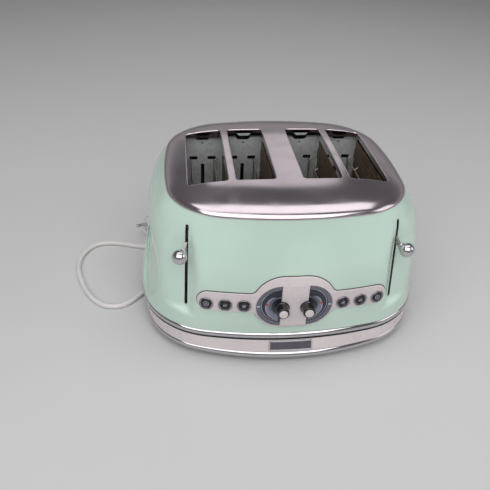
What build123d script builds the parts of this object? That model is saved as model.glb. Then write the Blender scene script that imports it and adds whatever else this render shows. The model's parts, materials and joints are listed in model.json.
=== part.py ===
from build123d import *
from collections import namedtuple
import math
import os

# The stack of parts above the table, in millimetres: X right, Y back, Z up
FOOT_HEIGHT = 8.9
LOWER_TRIM_HEIGHT = 7.0
BAND_HEIGHT = 15.7
UPPER_TRIM_HEIGHT = 7.0
LIP_HEIGHT = 4.6
DOME_RISE = 14.5

# The body's outline at its five levels, from the hem up to the neck
HEM_HALF_WIDTH = 175.6
HEM_HALF_DEPTH = 145.2
BELT_RISE = 46.4
BELT_HALF_WIDTH = 167.2
BELT_HALF_DEPTH = 148.1
WAIST_RISE = 94.4
WAIST_HALF_WIDTH = 162.1
WAIST_HALF_DEPTH = 144.5
SHOULDER_RISE = 128.4
SHOULDER_HALF_WIDTH = 152.3
SHOULDER_HALF_DEPTH = 133.5
NECK_RISE = 142.8
NECK_HALF_WIDTH = 140.3
NECK_HALF_DEPTH = 129.9

# The radii of the outline's front, side and corner arcs
HEM_FRONT_R = 460.0
HEM_SIDE_R = 317.0
HEM_CORNER_R = 94.2
NECK_FRONT_R = 403.0
NECK_SIDE_R = 543.0
NECK_CORNER_R = 75.4

# The foot of the base band: narrower than the hem by the tuck, and deeper by the flare
BASE_TUCK = 2.7
BASE_FLARE = 10.6
BASE_FRONT_R = 300.6
BASE_SIDE_R = 311.2
BASE_CORNER_R = 93.1

# Walls and the gaps that parts of one body keep
SHELL_WALL = 1.5
COVER_WALL = 1.0
BAND_WALL = 2.2
SEAT_GAP = 0.25
SHELL_HOLE_GAP = 0.8
TRIM_PROUD = 1.2
TRIM_ROUNDING = 2.4
TRIM_DEPTH = 9.0
PLATE_WALL = 1.5

# The cover and its four bread slots
COVER_PROUD = 0.8
DOME_POWER = 4.6
SLOT_LENGTH = 140.0
SLOT_WIDTH = 44.2
SLOT_CORNER_R = 2.5
CENTRE_BRIDGE = 31.6
PAIR_BRIDGE = 9.3
SLOT_FLANGE = 5.0
TAB_TOP_WIDTH = 26.0
TAB_FOOT_WIDTH = 12.0
TAB_LENGTH = 8.7

# The toasting chambers
CHAMBER_HALF_LENGTH = 75.5
CHAMBER_PLATE = 1.0
CHAMBER_INNER_X = 11.0
CHAMBER_OUTER_X = 118.5
CHAMBER_TOP = 185.3
CHAMBER_FLANGE = 6.0
NOTCH_WIDTH = 20.0
NOTCH_DEPTH = 3.0
PEEP_HOLE_R = 1.3
PEEP_HOLE_DROP = 7.0
VENT_LENGTH = 10.6
VENT_HEIGHT = 5.0
VENT_OFFSET = 12.1
VENT_DROP = 28.7
RACK_SLOT_WIDTH = 4.6
RACK_SLOT_DROP = 37.4
HEATER_THICKNESS = 1.2
HEATER_CLEARANCE = 2.6
HEATER_BOTTOM = 45.0
HEATER_TOP = 181.0
HEATER_SETBACK = 4.0
HEATER_TAB_HEIGHT = 12.0
HEATER_TAB_INSETS = (10.0, 116.0)
GUARD_OFFSET = 14.9
GUARD_WIRE_R = 0.9
GUARD_BAR_R = 0.7
GUARD_BARS = 5
GUARD_PITCH = 34.5
GUARD_BOTTOM = 48.0
GUARD_END_REACH = 2.5
GUARD_SEAT_GAP = 0.3
GUARD_TIP_SPREAD = 4.5
GUARD_TIP_RISE = 3.5

# The oval field pressed into each flank
MEDALLION_Y = -62.0
MEDALLION_Z = 90.0
MEDALLION_HALF_WIDTH = 37.0
MEDALLION_HALF_HEIGHT = 42.0
MEDALLION_DEPTH = 2.5

# The lever scoop, its slot and the lever
LEVER_YAW = 25.0
VALLEY_X = 116.4
VALLEY_Y = 112.0
SLOT_TOP_Z = 167.7
SLOT_BOTTOM_Z = 65.8
VALLEY_RAKE = 7.7
STEP_OFFSET = 2.4
STEP_SLANT = 30.0
SCOOP_FOOT_SLOPE = 40.0
LEVER_SLOT_WIDTH = 4.0
ARM_THICKNESS = 2.4
ARM_HEIGHT = 8.0
ARM_Z = 147.0
KNOB_Z = 139.3
KNOB_REACH = 20.9
KNOB_STEM = 11.6
ARM_SLOPE_LENGTH = 7.0
ARM_TIP_HEIGHT = 5.0
BALL_R = 8.3
FLANGE_R = 5.0
NECK_R = 3.0
LEVER_DROP = 70.0
LEVER_LIFT = 18.0

# The carriage, its guide rod and its return spring
ROD_R = 2.5
ROD_CLEARANCE = 0.06
ROD_BACK = 19.0
SLIDER_R = 6.0
SLIDER_LENGTH = 24.0
SLIDER_TOP = 142.0
RACK_Z = 105.0
RACK_WIDTH = 15.0
RACK_THICKNESS = 1.5
RACK_WINDOWS = 7
RACK_WINDOW_PITCH = 20.0
RACK_WINDOW_LENGTH = 13.0
RACK_EDGE = 2.5
TONGUE_WIDTH = 3.0
TONGUE_HEIGHT = 4.0
TONGUE_REACH = 4.0
CROSSBAR_GAP = 5.0
CROSSBAR_THICKNESS = 1.6
CROSSBAR_HEIGHT = 12.0
WEB_HALF_THICKNESS = 2.0
CATCH_X = 68.0
CATCH_WIDTH = 20.0
CATCH_LIFT = 4.0
CATCH_THICKNESS = 1.5
CATCH_FRONT = 8.0
MAGNET_GAP = 0.3
MAGNET_COIL_R = 8.5
MAGNET_COIL_HEIGHT = 12.0
MAGNET_FOOT_HEIGHT = 3.0
SPRING_R = 4.6
SPRING_WIRE = 1.2
HANGER_Z = 176.0
HANGER_THICKNESS = 1.4
HANGER_HALF_WIDTH = 7.0
ROD_HEAD = 6.0

# The control fascia, its dials, knobs and buttons
CONTROL_Z = 82.0
FASCIA_RISE = 3.0
FASCIA_BLEND_R = 8.0
RACETRACK_HALF_LENGTH = 47.0
RACETRACK_R = 35.5
RACETRACK_PROUD = 4.0
WING_HALF_LENGTH = 107.6
WING_HALF_HEIGHT = 13.0
WING_PROUD = 2.0
PANEL_HALF_WIDTH = 15.0
KNOB_X = 14.4
KNOB_CLEARANCE = 0.8
DIAL_R = 28.6
DIAL_RING_R = 23.4
DIAL_PLATE = 1.2
DIAL_RING_RISE = 1.4
BROWNING_KNOB_R = 8.5
BROWNING_KNOB_TIP_R = 6.4
BROWNING_KNOB_LENGTH = 11.6
KNOB_CAP_R = 4.8
KNOB_CAP_LENGTH = 1.6
SHAFT_R = 3.0
SHAFT_END = 1.0
SHAFT_FIT = 0.08
SHAFT_CLEARANCE = 0.4
BUTTON_OFFSETS = (55.7, 76.3, 97.0)
BUTTON_R = 5.6
BUTTON_CLEARANCE = 0.25
BEZEL_R = 8.0
BEZEL_PROUD = 1.6
BEZEL_GAP = 0.8
BEZEL_LIP = 0.5
BEZEL_SEAT = 1.5
BUTTON_PROUD = 1.0
BUTTON_TRAVEL = 2.0
BUTTON_DEPTH = 8.0
BOARD_X = 54.0
BOARD_LENGTH = 94.0
BOARD_HEIGHT = 24.0
BOARD_DEPTH = 15.0
BOARD_THICKNESS = 1.6
POST_OFFSET = 43.0
POST_RISE = 9.3
POST_R = 2.5
SWITCH_R = 3.0
SWITCH_LENGTH = 7.0
SWITCH_GAP = 0.3
DIAL_POT_R = 6.5
DIAL_POT_LENGTH = 12.0
DIAL_POT_SEAT = 7.0

# The nameplate, the feet, the screws and the crumb trays
NAMEPLATE_WIDTH = 51.0
NAMEPLATE_HEIGHT = 12.0
NAMEPLATE_PROUD = 1.4
FOOT_X = 105.0
FOOT_Y = 106.0
FOOT_R = 9.0
FOOT_TOP_R = 11.0
SCREW_XS = (-128, 0, 128)
SCREW_YS = (-92, 92)
SCREW_R = 1.5
SCREW_HEAD_R = 3.4
SCREW_HEAD_HEIGHT = 2.0
SCREW_LENGTH = 10.5
SCREW_BOSS_R = 4.5
TRAY_INNER_X = 14.0
TRAY_OUTER_X = 115.5
TRAY_WALL = 1.2
TRAY_BOTTOM = 17.7
TRAY_HEIGHT = 8.4
TRAY_PULL_X = 46.0
TRAY_PULL_WIDTH = 38.0
TRAY_PULL_REACH = 165.4
TRAY_PULL_THICKNESS = 3.0
TRAY_PULL_CORNER_R = 8.0
TRAY_CLEARANCE = 0.5
DECK_WALL = 2.5

# The mains cord, its coil and its plug
CORD_R = 3.3
CORD_Z = 3.4
COIL_R = 39.6
COIL_STEP = 7.2
TAIL_RUN = 22.0
GLAND_Z = 7.4
GLAND_LENGTH = 24.0
GLAND_STRAIGHT = 6.0
GLAND_RADII = (6.4, 4.6)
GLAND_FOOT = (20.0, 18.0)
GLAND_FOOT_RISE = 1.2
PLUG_R = 18.2
PLUG_FACE = (-169.0, 126.0)
PLUG_HEADING = 228.0
PLUG_TILT = 16.0
PLUG_LENGTH = 44.0
PLUG_RIM_START = 33.0
PLUG_PIN_R = 2.4
PLUG_PIN_SPACING = 19.0
PLUG_PIN_LENGTH = 19.0

# Heights that follow from the stack
BASE_Z = FOOT_HEIGHT
BAND_Z = BASE_Z + LOWER_TRIM_HEIGHT
TRIM_Z = BAND_Z + BAND_HEIGHT
HEM_Z = TRIM_Z + UPPER_TRIM_HEIGHT
NECK_Z = HEM_Z + NECK_RISE
LIP_Z = NECK_Z + LIP_HEIGHT
DECK_Z = TRIM_Z - DECK_WALL
SLOT_XS = (
    CENTRE_BRIDGE / 2 + SLOT_WIDTH / 2,
    CENTRE_BRIDGE / 2 + SLOT_WIDTH * 1.5 + PAIR_BRIDGE,
)
SIDES = (("left", -1), ("right", 1))
FAR = 400.0

Outline = namedtuple("Outline", "half_width half_depth front_r side_r corner_r z")


def mix(low, high, share):
    return low + (high - low) * share


def body_level(half_width, half_depth, rise):
    """The body's outline at a height above the hem; its radii change evenly."""
    share = rise / NECK_RISE
    return Outline(
        half_width,
        half_depth,
        mix(HEM_FRONT_R, NECK_FRONT_R, share),
        mix(HEM_SIDE_R, NECK_SIDE_R, share),
        mix(HEM_CORNER_R, NECK_CORNER_R, share),
        HEM_Z + rise,
    )


HEM = body_level(HEM_HALF_WIDTH, HEM_HALF_DEPTH, 0.0)
NECK = body_level(NECK_HALF_WIDTH, NECK_HALF_DEPTH, NECK_RISE)
BODY_LEVELS = (
    HEM,
    body_level(BELT_HALF_WIDTH, BELT_HALF_DEPTH, BELT_RISE),
    body_level(WAIST_HALF_WIDTH, WAIST_HALF_DEPTH, WAIST_RISE),
    body_level(SHOULDER_HALF_WIDTH, SHOULDER_HALF_DEPTH, SHOULDER_RISE),
    NECK,
)
BASE = Outline(
    HEM_HALF_WIDTH - BASE_TUCK,
    HEM_HALF_DEPTH + BASE_FLARE,
    BASE_FRONT_R,
    BASE_SIDE_R,
    BASE_CORNER_R,
    BASE_Z,
)


def band_at(z):
    """The outline of the flared base at a height between its foot and the hem."""
    share = (z - BASE.z) / (HEM.z - BASE.z)
    return Outline(*(mix(low, high, share) for low, high in zip(BASE, HEM)))


def outline_face(o, grow=0.0):
    """A soft rectangle of eight tangent arcs, grown outwards by a distance."""
    width = o.half_width + grow
    depth = o.half_depth + grow
    front_r = o.front_r + grow
    side_r = o.side_r + grow
    corner_r = o.corner_r + grow
    front_c = Vector(0, front_r - depth)
    side_c = Vector(width - side_r, 0)
    gap = side_c - front_c
    to_front = front_r - corner_r
    to_side = side_r - corner_r
    along = (to_front**2 - to_side**2 + gap.length**2) / (2 * gap.length)
    across = math.sqrt(to_front**2 - along**2)
    unit = gap.normalized()
    corner_c = front_c + unit * along + Vector(-unit.Y, unit.X) * across
    front_end = front_c + (corner_c - front_c).normalized() * front_r
    side_end = side_c + (corner_c - side_c).normalized() * side_r
    bulge = ((front_end - corner_c) + (side_end - corner_c)).normalized() * corner_r
    corner_mid = corner_c + bulge

    def spot(p, sx=1, sy=1):
        return (p.X * sx, p.Y * sy, o.z)

    arcs = [
        ThreePointArc(spot(front_end, -1), (0, -depth, o.z), spot(front_end)),
        ThreePointArc(spot(front_end), spot(corner_mid), spot(side_end)),
        ThreePointArc(spot(side_end), (width, 0, o.z), spot(side_end, 1, -1)),
        ThreePointArc(spot(side_end, 1, -1), spot(corner_mid, 1, -1), spot(front_end, 1, -1)),
        ThreePointArc(spot(front_end, 1, -1), (0, depth, o.z), spot(front_end, -1, -1)),
        ThreePointArc(spot(front_end, -1, -1), spot(corner_mid, -1, -1), spot(side_end, -1, -1)),
        ThreePointArc(spot(side_end, -1, -1), (-width, 0, o.z), spot(side_end, -1)),
        ThreePointArc(spot(side_end, -1), spot(corner_mid, -1), spot(front_end, -1)),
    ]
    return Face(Wire(arcs))


def loft_of(levels, grow=0.0, ruled=False):
    return loft([outline_face(level, grow) for level in levels], ruled=ruled)


def band_solid(low, high, grow=0.0):
    """A slice of the flared base between two heights."""
    return loft_of((band_at(low), band_at(high)), grow, ruled=True)


def body_form(grow=0.0):
    """The body's outer form, grown outwards by a distance."""
    return loft_of(BODY_LEVELS, grow)


def box_between(low, high):
    """A box between two opposite corners."""
    size = [b - a for a, b in zip(low, high)]
    return Pos(*low) * Box(*size, align=(Align.MIN, Align.MIN, Align.MIN))


def rod_between(start, end, radius):
    """A round bar from one point to another."""
    path = Line(start, end)
    return sweep(Plane(path @ 0, z_dir=path % 0) * Circle(radius), path=path)


def upright(radius, height):
    """A round bar that stands on its origin."""
    return Cylinder(radius, height, align=(Align.CENTER, Align.CENTER, Align.MIN))


def ring_plane(spot, direction):
    """A plane square to a direction, with its X as level as it can be."""
    normal = Vector(*direction).normalized()
    level = Vector(-normal.Y, normal.X, 0)
    if level.length < 0.001:
        level = Vector(1, 0, 0)
    return Plane(origin=spot, x_dir=level, z_dir=normal)


def turned(profile, spot, direction):
    """A profile of radius and distance pairs turned about an axis that leaves a spot."""
    outline = make_face(Polyline(*profile, close=True))
    solid = revolve(Plane.XZ * outline, Axis.Z)
    return ring_plane(spot, direction) * solid


# The lever scoop's directions in plan, for the right side
LEVER_OUT = Vector(math.sin(math.radians(LEVER_YAW)), -math.cos(math.radians(LEVER_YAW)), 0)
FLOOR_OUT = Vector(math.cos(math.radians(LEVER_YAW)), math.sin(math.radians(LEVER_YAW)), 0)
VALLEY_TOP = Vector(VALLEY_X, -VALLEY_Y, SLOT_TOP_Z)


def mirrored(solid, side):
    return solid if side > 0 else mirror(solid, about=Plane.YZ)


def scoop_cutter(inset=0.0):
    """What the scoop takes from the right front corner: a floor that leans
    back towards the top, a slanted step beside the slot and a sloping foot."""
    foot_z = SLOT_BOTTOM_Z - STEP_OFFSET
    drop = SLOT_TOP_Z - SLOT_BOTTOM_Z
    valley = VALLEY_TOP - LEVER_OUT * inset
    start = valley - FLOOR_OUT * (STEP_OFFSET + inset)
    start = start + LEVER_OUT * VALLEY_RAKE - Vector(0, 0, 1.4 * drop)
    start = start + LEVER_OUT * (0.4 * VALLEY_RAKE)
    slant = math.radians(STEP_SLANT)
    wall_out = Vector(-math.sin(slant), -math.cos(slant), 0)
    beyond = HEM_HALF_WIDTH
    points = [
        start,
        start + wall_out * beyond,
        start + (wall_out + FLOOR_OUT) * beyond,
        start + FLOOR_OUT * beyond,
    ]
    plan = Face(Wire.make_polygon(points, close=True))
    lean = Vector(0, 0, drop) - LEVER_OUT * VALLEY_RAKE
    prism = extrude(plan, amount=lean.length * 1.7, dir=lean.normalized())
    foot_spot = VALLEY_TOP + LEVER_OUT * VALLEY_RAKE
    slope = math.radians(SCOOP_FOOT_SLOPE)
    foot_normal = LEVER_OUT * math.sin(slope) + Vector(0, 0, math.cos(slope))
    foot = Plane(origin=(foot_spot.X, foot_spot.Y, foot_z - inset), z_dir=foot_normal)
    return split(prism, bisect_by=foot, keep=Keep.TOP)


def lever_slot_cutter():
    """The upright slot in the scoop's floor."""
    tall = SLOT_TOP_Z - SLOT_BOTTOM_Z
    middle = VALLEY_TOP + Vector(0, 0, -tall / 2)
    plane = Plane(origin=middle - LEVER_OUT * 12, x_dir=FLOOR_OUT, z_dir=LEVER_OUT)
    return extrude(plane * RectangleRounded(LEVER_SLOT_WIDTH, tall, LEVER_SLOT_WIDTH * 0.45), 40)


def medallion_cutter(grow=0.0):
    """The oval field pressed into the right flank, near its front corner."""
    plane = Plane(origin=(100, MEDALLION_Y, MEDALLION_Z), x_dir=(0, 1, 0), z_dir=(1, 0, 0))
    oval = plane * Ellipse(MEDALLION_HALF_WIDTH + grow, MEDALLION_HALF_HEIGHT + grow)
    return extrude(oval, 100) - body_form(-MEDALLION_DEPTH - grow)


def pressed_form(grow=0.0):
    """The body's form with both scoops and both oval fields pressed in."""
    solid = body_form(grow)
    for _, side in SIDES:
        solid -= mirrored(scoop_cutter(-grow), side)
        solid -= mirrored(medallion_cutter(-grow), side)
    return solid


def front_spot(x, z):
    """Where the body's front lies at a place, and the way out of it there."""
    hits = FRONT_FORM.find_intersection_points(Axis((x, -FAR, z), (0, 1, 0)))
    spot, normal = min(hits, key=lambda hit: hit[0].Y)
    out = Vector(normal.X, normal.Y, 0).normalized()
    return spot, out if out.Y < 0 else -out


FRONT_FORM = body_form()


def button_places():
    """Each button's node name, its spot on the body's front and its way out."""
    kinds = ("defrost", "reheat", "cancel")
    places = []
    for name, side in SIDES:
        for kind, offset in zip(kinds, BUTTON_OFFSETS):
            spot, out = front_spot(side * offset, CONTROL_Z)
            places.append((f"{name}_{kind}_button", spot, out))
    return places


def make_body_shell():
    """The pressed steel body, open at its top and bottom."""
    shell = pressed_form() - pressed_form(-SHELL_WALL)
    for _, side in SIDES:
        shell -= mirrored(lever_slot_cutter(), side)
        shell -= Pos(side * KNOB_X, 0, CONTROL_Z) * Rot(90, 0, 0) * upright(SHAFT_R + SHELL_HOLE_GAP, FAR)
    for _, spot, out in button_places():
        shell -= rod_between(spot - out * 12, spot + out * 12, BUTTON_R + SHELL_HOLE_GAP)
    return shell


def racetrack():
    """The fascia's middle seen from the front, above the level of the controls."""
    return Pos(0, FASCIA_RISE) * SlotOverall(2 * RACETRACK_HALF_LENGTH, 2 * RACETRACK_R)


def fascia_outline():
    """The whole fascia seen from the front: the racetrack blends into two wings."""
    wings = Pos(0, FASCIA_RISE) * SlotOverall(2 * WING_HALF_LENGTH, 2 * WING_HALF_HEIGHT)
    whole = racetrack() + wings
    corners = whole.vertices().filter_by(lambda v: abs(abs(v.Y - FASCIA_RISE) - WING_HALF_HEIGHT) < 0.01)
    corners = corners.filter_by(lambda v: abs(v.X) < RACETRACK_HALF_LENGTH)
    return fillet(corners, FASCIA_BLEND_R)


def front_slab(sketch, low, high):
    """A sketch seen from the front, cut from the layer between two heights off the body."""
    plane = Plane(origin=(0, -FAR / 2, CONTROL_Z), x_dir=(1, 0, 0), z_dir=(0, -1, 0))
    block = extrude(plane * sketch, -FAR / 2 + 60)
    return (block & body_form(high)) - body_form(low)


def half_disc(side, radius, bore=0.0):
    """A half disc outboard of a dial's straight edge, centred on its knob."""
    centre = Pos(side * KNOB_X, 0)
    disc = centre * Circle(radius)
    if bore:
        disc -= centre * Circle(bore)
    keep = Pos(side * (PANEL_HALF_WIDTH + FAR / 2), 0) * Rectangle(FAR, FAR)
    return disc & keep


def make_control_fascia():
    """The cream fascia: racetrack and wings that follow the body's curve."""
    panel = front_slab(fascia_outline(), SEAT_GAP, WING_PROUD)
    panel += front_slab(racetrack(), SEAT_GAP, RACETRACK_PROUD)
    for _, side in SIDES:
        panel -= front_slab(half_disc(side, DIAL_R), 0, RACETRACK_PROUD + 1)
        bore = SHAFT_R + SHAFT_CLEARANCE
        start = (side * KNOB_X, -FAR / 2, CONTROL_Z)
        panel -= rod_between(start, (side * KNOB_X, -100, CONTROL_Z), bore)
    for _, spot, out in button_places():
        panel -= rod_between(spot - out * 5, spot + out * 10, BEZEL_R - BEZEL_SEAT)
    return panel


def make_dial_face(side):
    """The dark scale plate at the back of a half dial."""
    plate = front_slab(half_disc(side, DIAL_R - SEAT_GAP), SEAT_GAP, SEAT_GAP + DIAL_PLATE)
    start = (side * KNOB_X, -FAR / 2, CONTROL_Z)
    end = (side * KNOB_X, -100, CONTROL_Z)
    return plate - rod_between(start, end, SHAFT_R + SHAFT_CLEARANCE)


def make_dial_ring(side):
    """The raised grey ring round a half dial."""
    low = 2 * SEAT_GAP + DIAL_PLATE
    ring = half_disc(side, DIAL_R - SEAT_GAP, DIAL_RING_R)
    return front_slab(ring, low, low + DIAL_RING_RISE)


def make_button(spot, out):
    """A button: a dished face on a stem that slides in its bezel."""
    front = WING_PROUD + BEZEL_PROUD + BUTTON_PROUD - 1.0
    profile = [
        (0, -BUTTON_DEPTH),
        (BUTTON_R - 1.6, -BUTTON_DEPTH),
        (BUTTON_R - 1.6, -2.0),
        (BUTTON_R, -2.0),
        (BUTTON_R, front - 0.8),
        (BUTTON_R - 0.8, front),
        (BUTTON_R - 1.9, front),
        (BUTTON_R - 2.3, front - 0.6),
        (0, front - 0.6),
    ]
    return turned(profile, spot, out)


def make_bezel(spot, out):
    """A chrome ring let into the fascia round a button."""
    front = WING_PROUD + BEZEL_PROUD
    inner = BUTTON_R + BUTTON_CLEARANCE
    seat = BEZEL_R - BEZEL_SEAT - SEAT_GAP
    profile = [
        (inner, 0.2),
        (seat, 0.2),
        (seat, WING_PROUD + BEZEL_GAP),
        (BEZEL_R, WING_PROUD + BEZEL_GAP),
        (BEZEL_R, WING_PROUD + BEZEL_GAP + BEZEL_LIP),
        (BEZEL_R - 0.9, front),
        (inner + 0.3, front),
        (inner, front - 0.4),
    ]
    return turned(profile, spot, out)


def knob_front(side):
    """The spot on a knob's axis where the racetrack's surface lies."""
    spot, _ = front_spot(side * KNOB_X, CONTROL_Z)
    return Vector(side * KNOB_X, spot.Y - RACETRACK_PROUD - KNOB_CLEARANCE, CONTROL_Z)


def make_browning_knob(side):
    """A black knob that tapers to its cap, on the shaft that turns with it."""
    length = BROWNING_KNOB_LENGTH
    profile = [
        (0, -BOARD_DEPTH - SHAFT_END),
        (SHAFT_R, -BOARD_DEPTH - SHAFT_END),
        (SHAFT_R, 0),
        (BROWNING_KNOB_R, 0),
        (BROWNING_KNOB_R, 1.6),
        (BROWNING_KNOB_R - 0.5, 2.2),
        (BROWNING_KNOB_TIP_R + 0.4, length - 0.6),
        (BROWNING_KNOB_TIP_R, length),
        (0, length),
    ]
    return turned(profile, knob_front(side), (0, -1, 0))


def make_knob_cap(side):
    """The cream cap on a knob's end, with a rounded rim."""
    length = BROWNING_KNOB_LENGTH
    profile = [
        (0, length),
        (KNOB_CAP_R, length),
        (KNOB_CAP_R, length + KNOB_CAP_LENGTH - 0.5),
        (KNOB_CAP_R - 0.5, length + KNOB_CAP_LENGTH),
        (0, length + KNOB_CAP_LENGTH),
    ]
    return turned(profile, knob_front(side), (0, -1, 0))


def make_control_board(side):
    """The circuit board behind one half of the fascia, on posts from the body."""
    spot, out = front_spot(side * BOARD_X, CONTROL_Z)
    centre = spot - out * BOARD_DEPTH
    plane = Plane(origin=(centre.X, centre.Y, CONTROL_Z), x_dir=Vector(-out.Y, out.X, 0), z_dir=out)
    board = plane * Box(BOARD_LENGTH, BOARD_HEIGHT, BOARD_THICKNESS)
    for along in (-POST_OFFSET, POST_OFFSET):
        board += plane * Pos(along, POST_RISE) * upright(POST_R, 2 * BOARD_DEPTH)
    for _, press_spot, press_out in button_places():
        if press_spot.X * side > 0:
            tip = press_spot - press_out * (BUTTON_DEPTH + BUTTON_TRAVEL + SWITCH_GAP)
            board += rod_between(tip, tip - press_out * SWITCH_LENGTH, SWITCH_R)
    pot_front = knob_front(side) + Vector(0, BOARD_DEPTH - DIAL_POT_SEAT, 0)
    shaft_end = knob_front(side) + Vector(0, BOARD_DEPTH + SHAFT_END, 0)
    board += rod_between(pot_front, pot_front + Vector(0, DIAL_POT_LENGTH, 0), DIAL_POT_R)
    bore_end = shaft_end + Vector(0, SWITCH_GAP, 0)
    board -= rod_between(pot_front - Vector(0, 1, 0), bore_end, SHAFT_R + SHAFT_FIT)
    return board & body_form(-SHELL_WALL - SEAT_GAP)


def dome_level(share, drop=0.0):
    """The cover's outline at a share of its spread, at the dome's height there."""
    z = LIP_Z + DOME_RISE * (1 - share**DOME_POWER) - drop
    scaled = [value * share for value in NECK[:5]]
    return Outline(*scaled, z)


def dome_solid(grow, drop):
    """The domed cover, filled: an upright lip below a loft that flattens upwards."""
    foot = NECK._replace(z=NECK_Z)
    head = NECK._replace(z=LIP_Z - drop)
    lip = loft([outline_face(foot, grow), outline_face(head, grow)], ruled=True)
    shares = (1.0, 0.985, 0.96, 0.92, 0.86, 0.78, 0.68, 0.55, 0.4)
    dome = loft([outline_face(dome_level(share, drop), grow) for share in shares])
    return lip + dome


def make_top_cover():
    """The polished cover: a domed shell with four slots."""
    cover = dome_solid(COVER_PROUD, 0.0) - dome_solid(COVER_PROUD - COVER_WALL, COVER_WALL)
    ends = [NECK._replace(z=z) for z in (NECK_Z - 1, NECK_Z + 1)]
    cover -= loft_of(ends, COVER_PROUD - COVER_WALL)
    slot = extrude(RectangleRounded(SLOT_WIDTH, SLOT_LENGTH, SLOT_CORNER_R), 2 * DOME_RISE)
    for _, side in SIDES:
        for x in SLOT_XS:
            cover -= Pos(side * x, 0, LIP_Z) * slot
    return cover


def make_slot_flanges():
    """The straight flanges round each slot, which stop short of its corners, and the rear ones' tabs."""
    under = dome_solid(COVER_PROUD - COVER_WALL, COVER_WALL)
    top = LIP_Z + DOME_RISE + 1
    wide = SLOT_WIDTH / 2
    long = SLOT_LENGTH / 2
    flanges = []
    for _, side in SIDES:
        for x in SLOT_XS:
            low = cover_height_outside(x) - SLOT_FLANGE
            middle = side * x
            for hand in (-1, 1):
                low_x, high_x = sorted((middle + hand * wide, middle + hand * (wide + COVER_WALL)))
                reach = long - SLOT_CORNER_R
                flanges.append(box_between((low_x, -reach, low), (high_x, reach, top)) & under)
                low_y, high_y = sorted((hand * long, hand * (long + COVER_WALL)))
                reach = wide - SLOT_CORNER_R
                end = box_between((middle - reach, low_y, low), (middle + reach, high_y, top)) & under
                flanges.append(end + slot_tab(middle, low) if hand > 0 else end)
    return Compound(flanges)


def cover_height_outside(x):
    """The cover's height at the outer edge of the slot whose middle is at x."""
    share = (x + SLOT_WIDTH / 2) / NECK_HALF_WIDTH
    return LIP_Z + DOME_RISE * (1 - share**DOME_POWER)


def slot_tab(x, collar_low):
    """The tapered tab that hangs from a slot's rear edge."""
    head = collar_low + SLOT_FLANGE / 2
    foot = LIP_Z + DOME_RISE - COVER_WALL - TAB_LENGTH
    y = SLOT_LENGTH / 2 + COVER_WALL
    points = [
        (x - TAB_TOP_WIDTH / 2, y, head),
        (x + TAB_TOP_WIDTH / 2, y, head),
        (x + TAB_FOOT_WIDTH / 2, y, foot),
        (x - TAB_FOOT_WIDTH / 2, y, foot),
    ]
    return extrude(Face(Wire.make_polygon(points, close=True)), COVER_WALL, dir=(0, -1, 0))


def make_upper_trim_ring():
    """The rounded chrome bead between the body and the base."""
    ring = band_solid(TRIM_Z, HEM_Z, TRIM_PROUD)
    ring = fillet(ring.edges().filter_by(lambda e: abs(e.bounding_box().size.Z) < 0.01), TRIM_ROUNDING)
    return ring - band_solid(TRIM_Z - 1, HEM_Z + 1, -3.0)


def make_lower_trim_ring():
    """The chrome ring under the band, with a ledge inside for the bottom plate."""
    ring = band_solid(BASE_Z, BAND_Z, TRIM_PROUD)
    ring = fillet(ring.edges().filter_by(lambda e: abs(e.bounding_box().size.Z) < 0.01), TRIM_ROUNDING)
    return ring - band_solid(BASE_Z - 1, BAND_Z + 1, -TRIM_DEPTH)


def screw_spots():
    """Where the base's screws stand."""
    return [(x, y) for x in SCREW_XS for y in SCREW_YS]


def make_base_housing():
    """The cream band with its deck, the crumb windows and the tray mouths."""
    housing = band_solid(BAND_Z, TRIM_Z) - band_solid(BAND_Z - 1, DECK_Z, -BAND_WALL)
    reach = CHAMBER_HALF_LENGTH - 3
    gap = TRAY_CLEARANCE
    for _, side in SIDES:
        low_x, high_x = sorted((side * TRAY_INNER_X, side * TRAY_OUTER_X))
        housing -= box_between((low_x, -reach, DECK_Z - 1), (high_x, reach, TRIM_Z + 1))
        housing -= box_between(
            (low_x - gap, reach, TRAY_BOTTOM - gap),
            (high_x + gap, FAR, TRAY_BOTTOM + TRAY_HEIGHT + gap),
        )
    for x, y in screw_spots():
        boss = Pos(x, y, BAND_Z + PLATE_WALL) * upright(SCREW_BOSS_R, DECK_Z - BAND_Z - PLATE_WALL)
        hole = Pos(x, y, BAND_Z) * upright(SCREW_R + 0.1, SCREW_LENGTH + 0.5)
        housing = housing + boss - hole
    return housing


def make_bottom_plate():
    """The steel plate that closes the base, with holes for its screws."""
    plate = extrude(outline_face(band_at(BAND_Z + PLATE_WALL), -BAND_WALL - 0.4), -PLATE_WALL)
    for x, y in screw_spots():
        plate -= Pos(x, y, BAND_Z) * Cylinder(SCREW_R + 0.3, 10)
    return plate


def make_bottom_screws():
    """Pan-head screws through the bottom plate into the base's bosses."""
    screws = []
    for x, y in screw_spots():
        profile = [
            (0, -SCREW_HEAD_HEIGHT),
            (SCREW_HEAD_R - 0.9, -SCREW_HEAD_HEIGHT),
            (SCREW_HEAD_R, -0.7),
            (SCREW_HEAD_R, 0),
            (SCREW_R, 0),
            (SCREW_R, SCREW_LENGTH - 1),
            (0, SCREW_LENGTH),
        ]
        screws.append(turned(profile, (x, y, BAND_Z), (0, 0, 1)))
    return Compound(screws)


def make_rubber_feet():
    """Four feet under the bottom plate."""
    feet = []
    for x in (-FOOT_X, FOOT_X):
        for y in (-FOOT_Y, FOOT_Y):
            profile = [(0, 0), (FOOT_R - 1, 0), (FOOT_R, 1), (FOOT_TOP_R, BAND_Z), (0, BAND_Z)]
            feet.append(turned(profile, (x, y, 0), (0, 0, 1)))
    return Compound(feet)


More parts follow.
